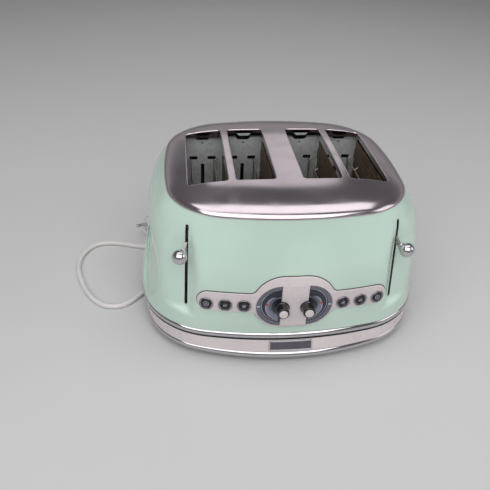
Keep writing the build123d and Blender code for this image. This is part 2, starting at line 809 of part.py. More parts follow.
def make_name_plate():
    """The blank chrome plate on the front of the band."""
    middle = (BAND_Z + TRIM_Z) / 2
    plane = Plane(origin=(0, -FAR / 2, middle), x_dir=(1, 0, 0), z_dir=(0, -1, 0))
    block = extrude(plane * RectangleRounded(NAMEPLATE_WIDTH, NAMEPLATE_HEIGHT, 1.6), -120)
    outer = band_solid(BASE_Z, HEM_Z, NAMEPLATE_PROUD)
    plate = (block & outer) - band_solid(BASE_Z, HEM_Z, SEAT_GAP)
    field = extrude(plane * RectangleRounded(NAMEPLATE_WIDTH - 3, NAMEPLATE_HEIGHT - 3, 0.8), -120)
    return plate - (field - band_solid(BASE_Z, HEM_Z, NAMEPLATE_PROUD - 0.5))


def chamber_face():
    """A chamber plate's sheet for the right side, with its cut-outs."""
    low = TRIM_Z
    wide = CHAMBER_OUTER_X - CHAMBER_INNER_X
    middle = (CHAMBER_OUTER_X + CHAMBER_INNER_X) / 2
    sheet = Pos(middle, (low + CHAMBER_TOP) / 2) * Rectangle(wide, CHAMBER_TOP - low)
    for x in SLOT_XS:
        notch = Polyline(
            (x - NOTCH_WIDTH / 2, CHAMBER_TOP + 1),
            (x + NOTCH_WIDTH / 2, CHAMBER_TOP + 1),
            (x + NOTCH_WIDTH / 2 - NOTCH_DEPTH, CHAMBER_TOP - NOTCH_DEPTH),
            (x - NOTCH_WIDTH / 2 + NOTCH_DEPTH, CHAMBER_TOP - NOTCH_DEPTH),
            close=True,
        )
        sheet -= make_face(notch)
        sheet -= Pos(x, CHAMBER_TOP - PEEP_HOLE_DROP) * Circle(PEEP_HOLE_R)
        for offset in (-VENT_OFFSET, VENT_OFFSET):
            sheet -= Pos(x + offset, CHAMBER_TOP - VENT_DROP) * Rectangle(VENT_LENGTH, VENT_HEIGHT)
        slot_top = CHAMBER_TOP - RACK_SLOT_DROP
        sheet -= Pos(x, (low + slot_top) / 2 - 1) * Rectangle(RACK_SLOT_WIDTH, slot_top - low + 2)
    return sheet


def make_chamber_plate(side, front):
    """A galvanised end plate, with a flange folded away from the chamber."""
    away = -1 if front else 1
    y = away * CHAMBER_HALF_LENGTH
    plane = Plane(origin=(0, y, 0), x_dir=(1, 0, 0), z_dir=(0, -1, 0))
    plate = extrude(plane * chamber_face(), -away * CHAMBER_PLATE)
    low, high = sorted((y, y + away * CHAMBER_FLANGE))
    flange = box_between(
        (CHAMBER_INNER_X, low, CHAMBER_TOP - CHAMBER_PLATE),
        (CHAMBER_OUTER_X, high, CHAMBER_TOP),
    )
    for x in SLOT_XS:
        half = NOTCH_WIDTH / 2
        flange -= box_between((x - half, low - 1, CHAMBER_TOP - 2), (x + half, high + 1, CHAMBER_TOP + 1))
    plate += flange
    if front:
        plate += rod_hanger(y)
    return mirrored(plate, side)


def rod_hanger(y):
    """The ear that holds a guide rod's top and its spring."""
    rod = rod_spot()
    ear = box_between(
        (rod.X - HANGER_HALF_WIDTH, rod.Y - HANGER_HALF_WIDTH, HANGER_Z),
        (rod.X + HANGER_HALF_WIDTH, y, HANGER_Z + HANGER_THICKNESS),
    )
    hole = Pos(rod.X, rod.Y, HANGER_Z) * Cylinder(ROD_R + 0.1, 10)
    return ear - hole


def rod_spot():
    """The right guide rod's place in plan, in line with the lever."""
    return VALLEY_TOP - LEVER_OUT * ROD_BACK


def make_guide_rod(side):
    """The polished rod that the carriage slides on."""
    rod = rod_spot()
    return mirrored(Pos(rod.X, rod.Y, TRIM_Z) * upright(ROD_R, HANGER_Z + ROD_HEAD - TRIM_Z), side)


def make_return_spring(side):
    """The close-wound spring that pulls the carriage up, as a plain sleeve."""
    rod = rod_spot()
    length = HANGER_Z - SLIDER_TOP
    sleeve = upright(SPRING_R, length) - upright(SPRING_R - SPRING_WIRE, length)
    return mirrored(Pos(rod.X, rod.Y, SLIDER_TOP) * sleeve, side)


def make_carriage(side):
    """The slider on its rod, with the crossbar that carries both racks."""
    rod = rod_spot()
    slider_low = SLIDER_TOP - SLIDER_LENGTH
    slider = Pos(rod.X, rod.Y, slider_low) * upright(SLIDER_R, SLIDER_LENGTH)
    face_y = -CHAMBER_HALF_LENGTH - CHAMBER_PLATE - CROSSBAR_GAP
    front_y = face_y - CROSSBAR_THICKNESS
    low = RACK_Z - RACK_THICKNESS
    web = WEB_HALF_THICKNESS
    catch_low = slider_low + CATCH_LIFT
    catch_high = catch_low + CATCH_THICKNESS
    solid = slider + box_between(
        (SLOT_XS[0] - SLIDER_R, front_y, low), (rod.X + SLIDER_R, face_y, low + CROSSBAR_HEIGHT)
    )
    solid += box_between((rod.X - web, rod.Y, low), (rod.X + web, face_y, SLIDER_TOP - web))
    solid += box_between(
        (CATCH_X - CATCH_WIDTH / 2, rod.Y - CATCH_FRONT, catch_low),
        (CATCH_X + CATCH_WIDTH / 2, face_y, catch_high),
    )
    solid += box_between((CATCH_X - web, front_y, low), (CATCH_X + web, face_y, catch_high))
    bore = Pos(rod.X, rod.Y, 0) * Cylinder(ROD_R + ROD_CLEARANCE, 2 * FAR)
    return mirrored(solid - bore, side)


def make_lever_arm(side):
    """The flat arm from the slider out through the slot."""
    rod = rod_spot()
    start = Vector(rod.X, rod.Y, ARM_Z) + LEVER_OUT * (SLIDER_R - 0.4)
    length = ROD_BACK - SLIDER_R + 0.4 + KNOB_REACH - KNOB_STEM
    level = length - ARM_SLOPE_LENGTH
    low = KNOB_Z - ARM_Z - ARM_TIP_HEIGHT / 2
    points = [
        (0, 0),
        (level, 0),
        (length, low + ARM_TIP_HEIGHT),
        (length, low),
        (level, -ARM_HEIGHT),
        (0, -ARM_HEIGHT),
    ]
    plane = Plane(origin=start, x_dir=LEVER_OUT, z_dir=-FLOOR_OUT)
    arm = extrude(plane * make_face(Polyline(*points, close=True)), ARM_THICKNESS / 2, both=True)
    slider = Pos(rod.X, rod.Y, 0) * Cylinder(SLIDER_R, 2 * FAR)
    return mirrored(arm - slider, side)


def make_lever_knob(side):
    """The chrome knob: a ball on a short neck with a small collar."""
    start = VALLEY_TOP + LEVER_OUT * (KNOB_REACH - KNOB_STEM)
    spot = Vector(start.X, start.Y, KNOB_Z)
    rim = KNOB_STEM - BALL_R
    flare = [(0, 0), (NECK_R, 0), (NECK_R + 0.6, 1.2), (FLANGE_R - 1.4, rim - 1.2), (FLANGE_R, rim - 0.4)]
    join = math.sqrt(BALL_R**2 - (BALL_R - 1.4) ** 2)
    edge = Polyline(*flare, (FLANGE_R, rim + 0.6), (join, rim + 1.4))
    ball = ThreePointArc((join, rim + 1.4), (BALL_R, KNOB_STEM), (0, KNOB_STEM + BALL_R))
    axis = Line((0, KNOB_STEM + BALL_R), (0, 0))
    face = make_face([edge, ball, axis])
    solid = revolve(Plane.XZ * face, Axis.Z)
    return mirrored(ring_plane(spot, tuple(LEVER_OUT)) * solid, side)


def make_bread_racks(side):
    """Two racks: a folded strip with a tongue through each end plate."""
    racks = []
    end = CHAMBER_HALF_LENGTH - 1.5
    face_y = -CHAMBER_HALF_LENGTH - CHAMBER_PLATE - CROSSBAR_GAP
    for x in SLOT_XS:
        low = RACK_Z - RACK_THICKNESS
        strip = box_between((x - RACK_WIDTH / 2, -end, low), (x + RACK_WIDTH / 2, end, RACK_Z))
        for step in range(RACK_WINDOWS):
            y = (step - (RACK_WINDOWS - 1) / 2) * RACK_WINDOW_PITCH
            window = Box(RACK_WIDTH - 2 * RACK_EDGE, RACK_WINDOW_LENGTH, 4 * RACK_THICKNESS)
            strip -= Pos(x, y, RACK_Z) * window
        rear_y = CHAMBER_HALF_LENGTH + TONGUE_REACH
        for start, stop in ((face_y, TONGUE_REACH - end), (end - TONGUE_REACH, rear_y)):
            half = TONGUE_WIDTH / 2
            strip += box_between((x - half, start, low), (x + half, stop, low + TONGUE_HEIGHT))
        racks.append(mirrored(strip, side))
    return Compound(racks)


def heater_xs():
    """The three heater boards of one side, from the middle outwards."""
    inner_edge = CENTRE_BRIDGE / 2
    between = inner_edge + SLOT_WIDTH + PAIR_BRIDGE / 2
    outer_edge = inner_edge + 2 * SLOT_WIDTH + PAIR_BRIDGE
    return (inner_edge - HEATER_CLEARANCE, between, outer_edge + HEATER_CLEARANCE)


def make_heaters(side):
    """Three mica boards that hang between the end plates by their side tabs."""
    boards = []
    half = HEATER_THICKNESS / 2
    long = CHAMBER_HALF_LENGTH - SEAT_GAP
    for x in heater_xs():
        inside = long - HEATER_SETBACK
        board = box_between((x - half, -inside, HEATER_BOTTOM), (x + half, inside, HEATER_TOP))
        for inset in HEATER_TAB_INSETS:
            low = HEATER_BOTTOM + inset - HEATER_TAB_HEIGHT / 2
            board += box_between((x - half, -long, low), (x + half, long, low + HEATER_TAB_HEIGHT))
        boards.append(mirrored(board, side))
    return Compound(boards)


def guard_top():
    """The height of a guard's top wire, which rides on the lower edge of the vents."""
    vent_bottom = CHAMBER_TOP - VENT_DROP - VENT_HEIGHT / 2
    return vent_bottom + GUARD_SEAT_GAP + GUARD_WIRE_R


def make_slot_guards(side, hand):
    """One wire grille to each slot, on the same side of the bread. Its top wire
    reaches through the vents at both ends, along which the grille closes on the
    bread, and its bars end in tips that flare away from the bread."""
    guards = []
    top = guard_top()
    inside = CHAMBER_HALF_LENGTH - GUARD_END_REACH
    outside = CHAMBER_HALF_LENGTH + CHAMBER_PLATE + GUARD_END_REACH
    for slot_x in SLOT_XS:
        x = slot_x + hand * GUARD_OFFSET
        tip_x = x + hand * GUARD_TIP_SPREAD
        grille = rod_between((x, -outside, top), (x, outside, top), GUARD_WIRE_R)
        grille += rod_between((x, -inside, GUARD_BOTTOM), (x, inside, GUARD_BOTTOM), GUARD_BAR_R)
        for step in range(GUARD_BARS):
            y = (step - (GUARD_BARS - 1) / 2) * GUARD_PITCH
            grille += rod_between((x, y, GUARD_BOTTOM), (x, y, top), GUARD_BAR_R)
            grille += rod_between((x, y, top), (tip_x, y, top + GUARD_TIP_RISE), GUARD_BAR_R)
        guards.append(mirrored(grille, side))
    return Compound(guards)


def make_electromagnet(side):
    """The coil and iron that hold the carriage down."""
    top = SLIDER_TOP - SLIDER_LENGTH + CATCH_LIFT - LEVER_DROP - MAGNET_GAP
    middle = rod_spot().Y
    core = box_between((CATCH_X - 4, middle - 5, TRIM_Z), (CATCH_X + 4, middle + 3, top))
    coil = Pos(CATCH_X, middle - 1, TRIM_Z + MAGNET_FOOT_HEIGHT) * upright(MAGNET_COIL_R, MAGNET_COIL_HEIGHT)
    foot_low = (CATCH_X - 12, middle - 11, TRIM_Z)
    foot = box_between(foot_low, (CATCH_X + 12, middle + 5, TRIM_Z + MAGNET_FOOT_HEIGHT))
    return mirrored(core + coil + foot, side)


def make_crumb_tray(side):
    """A pan that slides out at the back, with a curved front and a pull."""
    wall = TRAY_WALL
    bottom = TRAY_BOTTOM
    top = bottom + TRAY_HEIGHT
    front_y = -CHAMBER_HALF_LENGTH + 2
    pan = box_between((TRAY_INNER_X, front_y, bottom), (TRAY_OUTER_X, FAR, top))
    hollow = box_between(
        (TRAY_INNER_X + wall, front_y + wall, bottom + wall), (TRAY_OUTER_X - wall, FAR, top + 1)
    )
    inside = band_solid(BAND_Z, TRIM_Z, 0.4)
    closed = band_solid(BAND_Z, TRIM_Z, -BAND_WALL)
    tray = (pan & inside) - (hollow & closed)
    middle = (bottom + top) / 2
    pull = box_between(
        (TRAY_PULL_X - TRAY_PULL_WIDTH / 2, CHAMBER_HALF_LENGTH, middle - TRAY_PULL_THICKNESS / 2),
        (TRAY_PULL_X + TRAY_PULL_WIDTH / 2, TRAY_PULL_REACH, middle + TRAY_PULL_THICKNESS / 2),
    )
    corners = pull.edges().filter_by(Axis.Z).sort_by(Axis.Y)[-2:]
    pull = fillet(corners, TRAY_PULL_CORNER_R)
    return mirrored(tray + (pull - closed), side)


# The cord's route, from its gland under the base, round its loose loop to the left,
# back under the base and out behind it to the coil
LEAD_ROUTE = [
    (-118.0, 58.5, GLAND_Z),
    (-129.5, 42.5, 7.0),
    (-146.5, 20.5, CORD_Z),
    (-162.0, -0.5, CORD_Z),
    (-177.5, -16.5, CORD_Z),
    (-192.8, -35.6, CORD_Z),
    (-204.8, -41.6, CORD_Z),
    (-218.1, -42.0, CORD_Z),
    (-230.4, -36.0, CORD_Z),
    (-248.4, -14.5, CORD_Z),
    (-267.2, 34.5, CORD_Z),
    (-269.3, 74.1, CORD_Z),
    (-252.1, 106.4, CORD_Z),
    (-223.5, 110.4, CORD_Z),
    (-176.5, 93.3, CORD_Z),
    (-150.8, 96.9, CORD_Z),
    (-133.0, 113.0, CORD_Z),
    (-98.0, 137.0, CORD_Z),
    (-62.0, 160.0, CORD_Z),
    (-35.0, 185.0, CORD_Z),
    (-28.8, 218.0, CORD_Z),
    (-28.8, 232.0, CORD_Z),
]


def corner_radii(route):
    """The largest arc that each corner of a route leaves room for."""
    radii = []
    for before, at, after in zip(route, route[1:], route[2:]):
        back = Vector(*at) - Vector(*before)
        ahead = Vector(*after) - Vector(*at)
        half_turn = math.radians(back.get_angle(ahead)) / 2
        radii.append(0.45 * min(back.length, ahead.length) / math.tan(half_turn))
    return radii


def tube(path, radius):
    return sweep(Plane(path @ 0, z_dir=path % 0) * Circle(radius), path=path)


def make_cord_stretch(name, route):
    """A plain round tube along a route of straight runs and tangent arcs."""
    radii = corner_radii(route)
    path = FilletPolyline(*route, radius=radii)
    solid = tube(path, CORD_R)
    expected = math.pi * CORD_R**2 * path.length
    print(f"{name}: length {path.length:.0f} mm, least radius {min(radii):.1f} mm, "
          f"volume {solid.volume / expected:.4f} of its section times its length")
    return solid


def biarc(start, start_dir, end, end_dir):
    """Two tangent arcs that join two points with a given direction at each."""
    span = end - start
    both = start_dir + end_dir
    product = span.dot(both)
    spare = 2 * (1 - start_dir.dot(end_dir))
    reach = (-product + math.sqrt(product**2 + spare * span.dot(span))) / spare
    middle = (start + start_dir * reach + end - end_dir * reach) / 2
    middle_dir = (end - end_dir * reach - start - start_dir * reach).normalized()
    return [
        Edge.make_tangent_arc(start, start_dir, middle),
        Edge.make_tangent_arc(middle, middle_dir, end),
    ]


def coil_path():
    """Half turns that spiral in on the table, climb, and spiral out above."""
    spot = Vector(*LEAD_ROUTE[-1])
    upward = 1
    edges = []
    halves = ((0, 0), (-0.5, 0), (-1, 1), (-0.5, 0), (0, 0))
    for shrink, climb in halves:
        radius = COIL_R + shrink * COIL_STEP
        end = spot + Vector(-2 * radius * upward, 0, climb * COIL_STEP)
        edges += biarc(spot, Vector(0, upward, 0), end, Vector(0, -upward, 0))
        spot = end
        upward = -upward
    return Wire(edges), spot


def least_gap(path, thickness):
    """The least clear distance between turns of a wound tube, on sampled points."""
    count = 240
    points = [path.position_at(i / count) for i in range(count + 1)]
    step = path.length / count
    apart = int(thickness * 3 / step)
    nearest = min(
        (points[i] - points[j]).length
        for i in range(count + 1)
        for j in range(i + apart, count + 1)
    )
    return nearest - thickness


def make_cord_coil():
    """The spare cord, wound in two and a half turns, in two layers."""
    path, _ = coil_path()
    solid = tube(path, CORD_R)
    expected = math.pi * CORD_R**2 * path.length
    print(f"cord_coil: length {path.length:.0f} mm, least gap {least_gap(path, 2 * CORD_R):.2f} mm, "
          f"volume {solid.volume / expected:.4f} of its section times its length")
    return solid


def plug_axis():
    """The plug's direction, from its cord end to its pins."""
    heading = math.radians(PLUG_HEADING)
    tilt = math.radians(PLUG_TILT)
    return Vector(
        math.cos(heading) * math.cos(tilt), math.sin(heading) * math.cos(tilt), math.sin(tilt)
    )


def plug_back():
    """The point where the cord enters the plug."""
    tilt = math.radians(PLUG_TILT)
    height = PLUG_R * math.cos(tilt) + (PLUG_LENGTH - PLUG_RIM_START) * math.sin(tilt)
    face = Vector(*PLUG_FACE, height + 0.1)
    return face - plug_axis() * PLUG_LENGTH


def tail_route():
    """The short way from the coil down to the plug."""
    _, start = coil_path()
    back = plug_back()
    before = back - plug_axis() * TAIL_RUN
    first = start - Vector(0, TAIL_RUN, 0)
    return [tuple(start), tuple(first), (before.X, before.Y, CORD_Z), tuple(back)]


def make_power_plug():
    """A round two-pin plug that lies on its rim and its cord end."""
    length = PLUG_LENGTH
    profile = [
        (CORD_R + 0.3, 0),
        (5.4, 0),
        (6.8, 16),
        (9.0, 22),
        (15.5, PLUG_RIM_START - 4),
        (PLUG_R, PLUG_RIM_START),
        (PLUG_R, length - 1),
        (PLUG_R - 1, length),
        (PLUG_R - 2.2, length),
        (PLUG_R - 2.2, length - 1.2),
        (0, length - 1.2),
        (0, 1.5),
        (CORD_R + 0.3, 1.5),
    ]
    plane = ring_plane(plug_back(), tuple(plug_axis()))
    solid = plane * revolve(Plane.XZ * make_face(Polyline(*profile, close=True)), Axis.Z)
    for hand in (-1, 1):
        pin = Pos(hand * PLUG_PIN_SPACING / 2, 0, length - 2) * Cylinder(
            PLUG_PIN_R, PLUG_PIN_LENGTH + 2, align=(Align.CENTER, Align.CENTER, Align.MIN)
        )
        solid += plane * pin
    return solid


def make_cord_gland():
    """The strain relief under the bottom plate: a foot and a tapered nozzle."""
    start = Vector(*LEAD_ROUTE[0])
    ahead = (Vector(*LEAD_ROUTE[1]) - start).normalized()
    base_r, tip_r = GLAND_RADII
    length = GLAND_LENGTH
    profile = [(0, -length), (base_r, -length), (base_r, GLAND_STRAIGHT - length), (tip_r, 0), (0, 0)]
    nozzle = turned(profile, tuple(start), tuple(ahead))
    foot = start - ahead * (length + GLAND_STRAIGHT)
    plane = Plane(origin=(foot.X, foot.Y, BAND_Z), x_dir=(ahead.X, ahead.Y, 0), z_dir=(0, 0, -1))
    block = extrude(plane * RectangleRounded(*GLAND_FOOT, 3), BAND_Z - GLAND_FOOT_RISE)
    return block + nozzle


def write(name, solid):
    export_step(solid, f"parts/{name}.step")


def main():
    os.makedirs("parts", exist_ok=True)
    write("body_shell", make_body_shell())
    write("top_cover", make_top_cover())
    write("slot_flanges", make_slot_flanges())
    write("upper_trim_ring", make_upper_trim_ring())
    write("base_housing", make_base_housing())
    write("lower_trim_ring", make_lower_trim_ring())
    write("bottom_plate", make_bottom_plate())
    write("bottom_screws", make_bottom_screws())
    write("rubber_feet", make_rubber_feet())
    write("name_plate", make_name_plate())
    write("control_fascia", make_control_fascia())
    bezels = []
    for name, spot, out in button_places():
        write(name, make_button(spot, out))
        bezels.append(make_bezel(spot, out))
    write("button_bezels", Compound(bezels))
    for name, side in SIDES:
        write(f"{name}_dial_face", make_dial_face(side))
        write(f"{name}_dial_ring", make_dial_ring(side))
        write(f"{name}_browning_knob", make_browning_knob(side))
        write(f"{name}_knob_cap", make_knob_cap(side))
        write(f"{name}_control_board", make_control_board(side))
        write(f"{name}_lever_arm", make_lever_arm(side))
        write(f"{name}_lever_knob", make_lever_knob(side))
        write(f"{name}_carriage", make_carriage(side))
        write(f"{name}_bread_racks", make_bread_racks(side))
        write(f"{name}_guide_rod", make_guide_rod(side))
        write(f"{name}_return_spring", make_return_spring(side))
        write(f"{name}_electromagnet", make_electromagnet(side))
        write(f"{name}_front_plate", make_chamber_plate(side, True))
        write(f"{name}_rear_plate", make_chamber_plate(side, False))
        write(f"{name}_inner_guards", make_slot_guards(side, -1))
        write(f"{name}_outer_guards", make_slot_guards(side, 1))
        write(f"{name}_crumb_tray", make_crumb_tray(side))
        write(f"{name}_heaters", make_heaters(side))
    write("cord_gland", make_cord_gland())
    write("cord_lead", make_cord_stretch("cord_lead", LEAD_ROUTE))
    write("cord_coil", make_cord_coil())
    write("cord_tail", make_cord_stretch("cord_tail", tail_route()))
    write("power_plug", make_power_plug())


main()
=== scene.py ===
import bmesh
import bpy
import json
import math
from collections import namedtuple
from mathutils import Matrix, Quaternion, Vector

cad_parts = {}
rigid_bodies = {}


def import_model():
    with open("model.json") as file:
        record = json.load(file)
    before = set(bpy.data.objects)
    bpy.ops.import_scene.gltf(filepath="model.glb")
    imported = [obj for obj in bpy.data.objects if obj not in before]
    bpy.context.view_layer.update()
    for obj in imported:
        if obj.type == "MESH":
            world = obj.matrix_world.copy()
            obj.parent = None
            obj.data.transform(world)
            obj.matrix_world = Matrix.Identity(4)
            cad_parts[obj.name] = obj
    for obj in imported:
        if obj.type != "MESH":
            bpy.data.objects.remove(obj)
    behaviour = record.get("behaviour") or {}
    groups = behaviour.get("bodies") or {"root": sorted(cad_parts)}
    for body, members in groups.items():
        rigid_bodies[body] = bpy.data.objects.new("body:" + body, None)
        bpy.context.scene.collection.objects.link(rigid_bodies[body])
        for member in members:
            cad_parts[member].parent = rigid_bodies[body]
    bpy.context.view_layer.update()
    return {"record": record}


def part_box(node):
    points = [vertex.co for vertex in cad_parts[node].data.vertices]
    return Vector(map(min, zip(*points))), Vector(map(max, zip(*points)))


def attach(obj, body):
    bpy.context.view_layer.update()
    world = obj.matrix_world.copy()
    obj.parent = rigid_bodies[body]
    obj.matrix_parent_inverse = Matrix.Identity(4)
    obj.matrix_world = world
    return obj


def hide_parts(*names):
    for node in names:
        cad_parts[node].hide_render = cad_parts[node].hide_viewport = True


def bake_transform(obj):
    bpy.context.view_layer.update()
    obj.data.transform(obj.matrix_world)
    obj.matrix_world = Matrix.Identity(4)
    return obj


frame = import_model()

# Sizes of the toaster in millimetres: X right, Y back, Z up
FOOT_HEIGHT = 8.9
LOWER_TRIM_HEIGHT = 7.0
BAND_HEIGHT = 15.7
UPPER_TRIM_HEIGHT = 7.0
LIP_HEIGHT = 4.6
DOME_RISE = 14.15
DOME_POWER = 4.6
COVER_PROUD = 0.8
SHELL_WALL = 1.5
TRIM_PROUD = 1.2
BASE_Z = FOOT_HEIGHT
BAND_Z = BASE_Z + LOWER_TRIM_HEIGHT
TRIM_Z = BAND_Z + BAND_HEIGHT
HEM_Z = TRIM_Z + UPPER_TRIM_HEIGHT
NECK_RISE = 142.8
NECK_Z = HEM_Z + NECK_RISE
LIP_Z = NECK_Z + LIP_HEIGHT

# The body's outline at its five levels: rise above the hem, half width, half depth
LEVELS = (
    (0.0, 175.6, 145.2),
    (46.4, 167.2, 148.1),
    (94.4, 162.1, 144.5),
    (128.4, 152.3, 133.5),
    (142.8, 140.3, 129.9),
)
HEM_RADII = (460.0, 317.0, 94.2)
NECK_RADII = (403.0, 543.0, 75.4)
BASE_OUTLINE = (172.9, 155.8, 300.6, 311.2, 93.1)

Outline = namedtuple("Outline", "half_width half_depth front_r side_r corner_r z")


def mix(low, high, share):
    return low + (high - low) * share


def clamp(value, low=0.0, high=1.0):
    return max(low, min(high, value))


def natural_spline(knots, values):
    """A smooth curve through a few values, as a function of its knots."""
    count = len(knots)
    steps = [knots[i + 1] - knots[i] for i in range(count - 1)]
    slopes = [(values[i + 1] - values[i]) / steps[i] for i in range(count - 1)]
    bends = [0.0] * count
    weights = [0.0] * count
    for i in range(1, count - 1):
        pivot = 2 * (steps[i - 1] + steps[i]) - steps[i - 1] * weights[i - 1]
        weights[i] = steps[i] / pivot
        bends[i] = (6 * (slopes[i] - slopes[i - 1]) - steps[i - 1] * bends[i - 1]) / pivot
    for i in range(count - 2, 0, -1):
        bends[i] -= weights[i] * bends[i + 1]

    def curve(x):
        i = max(k for k in range(count - 1) if x >= knots[k] or k == 0)
        run = x - knots[i]
        left = knots[i + 1] - x
        cubic = (bends[i] * left**3 + bends[i + 1] * run**3) / (6 * steps[i])
        start = (values[i] / steps[i] - bends[i] * steps[i] / 6) * left
        end = (values[i + 1] / steps[i] - bends[i + 1] * steps[i] / 6) * run
        return cubic + start + end

    return curve


RISES = [level[0] for level in LEVELS]
WIDTH_CURVE = natural_spline(RISES, [level[1] for level in LEVELS])
DEPTH_CURVE = natural_spline(RISES, [level[2] for level in LEVELS])


def body_outline(z):
    """The body's outline at a height."""
    rise = z - HEM_Z
    share = rise / NECK_RISE
    radii = [mix(low, high, share) for low, high in zip(HEM_RADII, NECK_RADII)]
    return Outline(WIDTH_CURVE(rise), DEPTH_CURVE(rise), *radii, z)


def band_outline(z):
    """The outline of the flared base at a height."""
    hem = (LEVELS[0][1], LEVELS[0][2], *HEM_RADII)
    share = (z - BASE_Z) / (HEM_Z - BASE_Z)
    return Outline(*(mix(low, high, share) for low, high in zip(BASE_OUTLINE, hem)), z)


def dome_outline(share):
    """The cover's outline at a share of its spread."""
    neck = (LEVELS[-1][1], LEVELS[-1][2], *NECK_RADII)
    z = LIP_Z + DOME_RISE * (1 - share**DOME_POWER)
    return Outline(*(value * share for value in neck), z)


def arc(centre, start, end, steps):
    """Points on the shorter arc from one point to another, without the last."""
    first = math.atan2(start.y - centre.y, start.x - centre.x)
    last = math.atan2(end.y - centre.y, end.x - centre.x)
    turn = (last - first + math.pi) % (2 * math.pi) - math.pi
    radius = (start - centre).length
    for i in range(steps):
        angle = first + turn * i / steps
        yield Vector((centre.x + radius * math.cos(angle), centre.y + radius * math.sin(angle)))


def centres(o):
    """The centres of an outline's front, corner and side arcs."""
    front_c = Vector((0, o.front_r - o.half_depth))
    side_c = Vector((o.half_width - o.side_r, 0))
    gap = side_c - front_c
    to_front = o.front_r - o.corner_r
    to_side = o.side_r - o.corner_r
    along = (to_front**2 - to_side**2 + gap.length_squared) / (2 * gap.length)
    across = math.sqrt(to_front**2 - along**2)
    unit = gap.normalized()
    return front_c, front_c + unit * along + Vector((-unit.y, unit.x)) * across, side_c


def quarter(o, grow, steps):
    """The outline's front right quarter, from the middle of the front to the middle of the side."""
    width = o.half_width + grow
    depth = o.half_depth + grow
    front_c, corner_c, side_c = centres(o)
    front_end = front_c + (corner_c - front_c).normalized() * (o.front_r + grow)
    side_end = side_c + (corner_c - side_c).normalized() * (o.side_r + grow)
    points = list(arc(front_c, Vector((0, -depth)), front_end, steps[0]))
    points += arc(corner_c, front_end, side_end, steps[1])
    points += arc(side_c, side_end, Vector((width, 0)), steps[2])
    return points + [Vector((width, 0))]


def ring(o, grow=0.0, front=(16, 20, 16), back=(16, 20, 16)):
    """The whole outline as a closed ring of points, from the middle of the front."""
    ahead = quarter(o, grow, front)
    behind = [Vector((p.x, -p.y)) for p in quarter(o, grow, back)]
    right = ahead + behind[-2::-1]
    left = [Vector((-p.x, p.y)) for p in right[-2:0:-1]]
    return [Vector((p.x, p.y, o.z)) for p in right + left]


def front_arc(o, x):
    """The centre and radius of the arc that an outline's front follows at a place."""
    front_c, corner_c, _ = centres(o)
    front_end = front_c + (corner_c - front_c).normalized() * o.front_r
    return (front_c, o.front_r) if abs(x) < front_end.x else (corner_c, o.corner_r)


def front_y(o, x):
    """How far forward an outline's front lies at a place."""
    centre, radius = front_arc(o, x)
    return centre.y - math.sqrt(radius**2 - (abs(x) - centre.x) ** 2)


def body_y(x, z):
    return front_y(body_outline(z), x)


# Selecting and shaping pieces
def alone(piece):
    """Select one piece and nothing else."""
    if bpy.context.object and bpy.context.object.mode != "OBJECT":
        bpy.ops.object.mode_set(mode="OBJECT")
    bpy.ops.object.select_all(action="DESELECT")
    piece.select_set(True)
    bpy.context.view_layer.objects.active = piece
    return piece


def edit(piece, kind="FACE", test=None):
    """Open a piece for editing, with the elements that pass a test selected."""
    alone(piece)
    bpy.ops.object.mode_set(mode="EDIT")
    bpy.ops.mesh.select_mode(type=kind)
    bpy.ops.mesh.select_all(action="DESELECT")
    if test:
        select(piece, kind, test)


def select(piece, kind, test):
    """Select the elements whose middle passes a test of its place in millimetres."""
    mesh = bmesh.from_edit_mesh(piece.data)
    if kind == "FACE":
        for face in mesh.faces:
            face.select_set(test(face.calc_center_median() * 1000, face.normal))
    elif kind == "EDGE":
        for edge in mesh.edges:
            ends = edge.verts
            middle = (ends[0].co + ends[1].co) / 2
            edge.select_set(test(middle * 1000, (ends[1].co - ends[0].co).normalized()))
    else:
        for vertex in mesh.verts:
            vertex.select_set(test(vertex.co * 1000, vertex.normal))
    mesh.select_flush_mode()
    bmesh.update_edit_mesh(piece.data)


def done():
    bpy.ops.object.mode_set(mode="OBJECT")


def finish_shape(piece, angle=35.0):
    """Put a piece's place into its mesh and shade it smooth below an angle."""
    alone(piece)
    bpy.ops.object.transform_apply(location=True, rotation=True, scale=True)
    bpy.ops.object.shade_smooth_by_angle(angle=math.radians(angle))
    return piece


def recalculate(piece, merge=0.00001):
    """Merge a shape's doubled points and turn its faces outwards."""
    edit(piece)
    bpy.ops.mesh.select_all(action="SELECT")
    bpy.ops.mesh.remove_doubles(threshold=merge)
    bpy.ops.mesh.normals_make_consistent(inside=False)
    done()
    return piece


def modifier(piece, kind, **settings):
    """Add a modifier, set it and apply it."""
    alone(piece)
    added = piece.modifiers.new(kind.lower(), kind)
    for name, value in settings.items():
        setattr(added, name, value)
    bpy.ops.object.modifier_apply(modifier=added.name)
    return piece


def join(name, pieces):
    """Join pieces into one."""
    alone(pieces[0])
    for piece in pieces[1:]:
        piece.select_set(True)
    if len(pieces) > 1:
        bpy.ops.object.join()
    piece = bpy.context.view_layer.objects.active
    piece.name = name
    return piece


def mesh_piece(name, points, faces):
    """A new piece from points in millimetres."""
    data = bpy.data.meshes.new(name)
    data.from_pydata([p * 0.001 for p in points], [], faces)
    data.update()
    piece = bpy.data.objects.new(name, data)
    bpy.context.scene.collection.objects.link(piece)
    return piece


# The faces of a box whose eight corners are two rings of four
BOX_FACES = [(0, 1, 2, 3), (7, 6, 5, 4), (0, 4, 5, 1), (1, 5, 6, 2), (2, 6, 7, 3), (3, 7, 4, 0)]


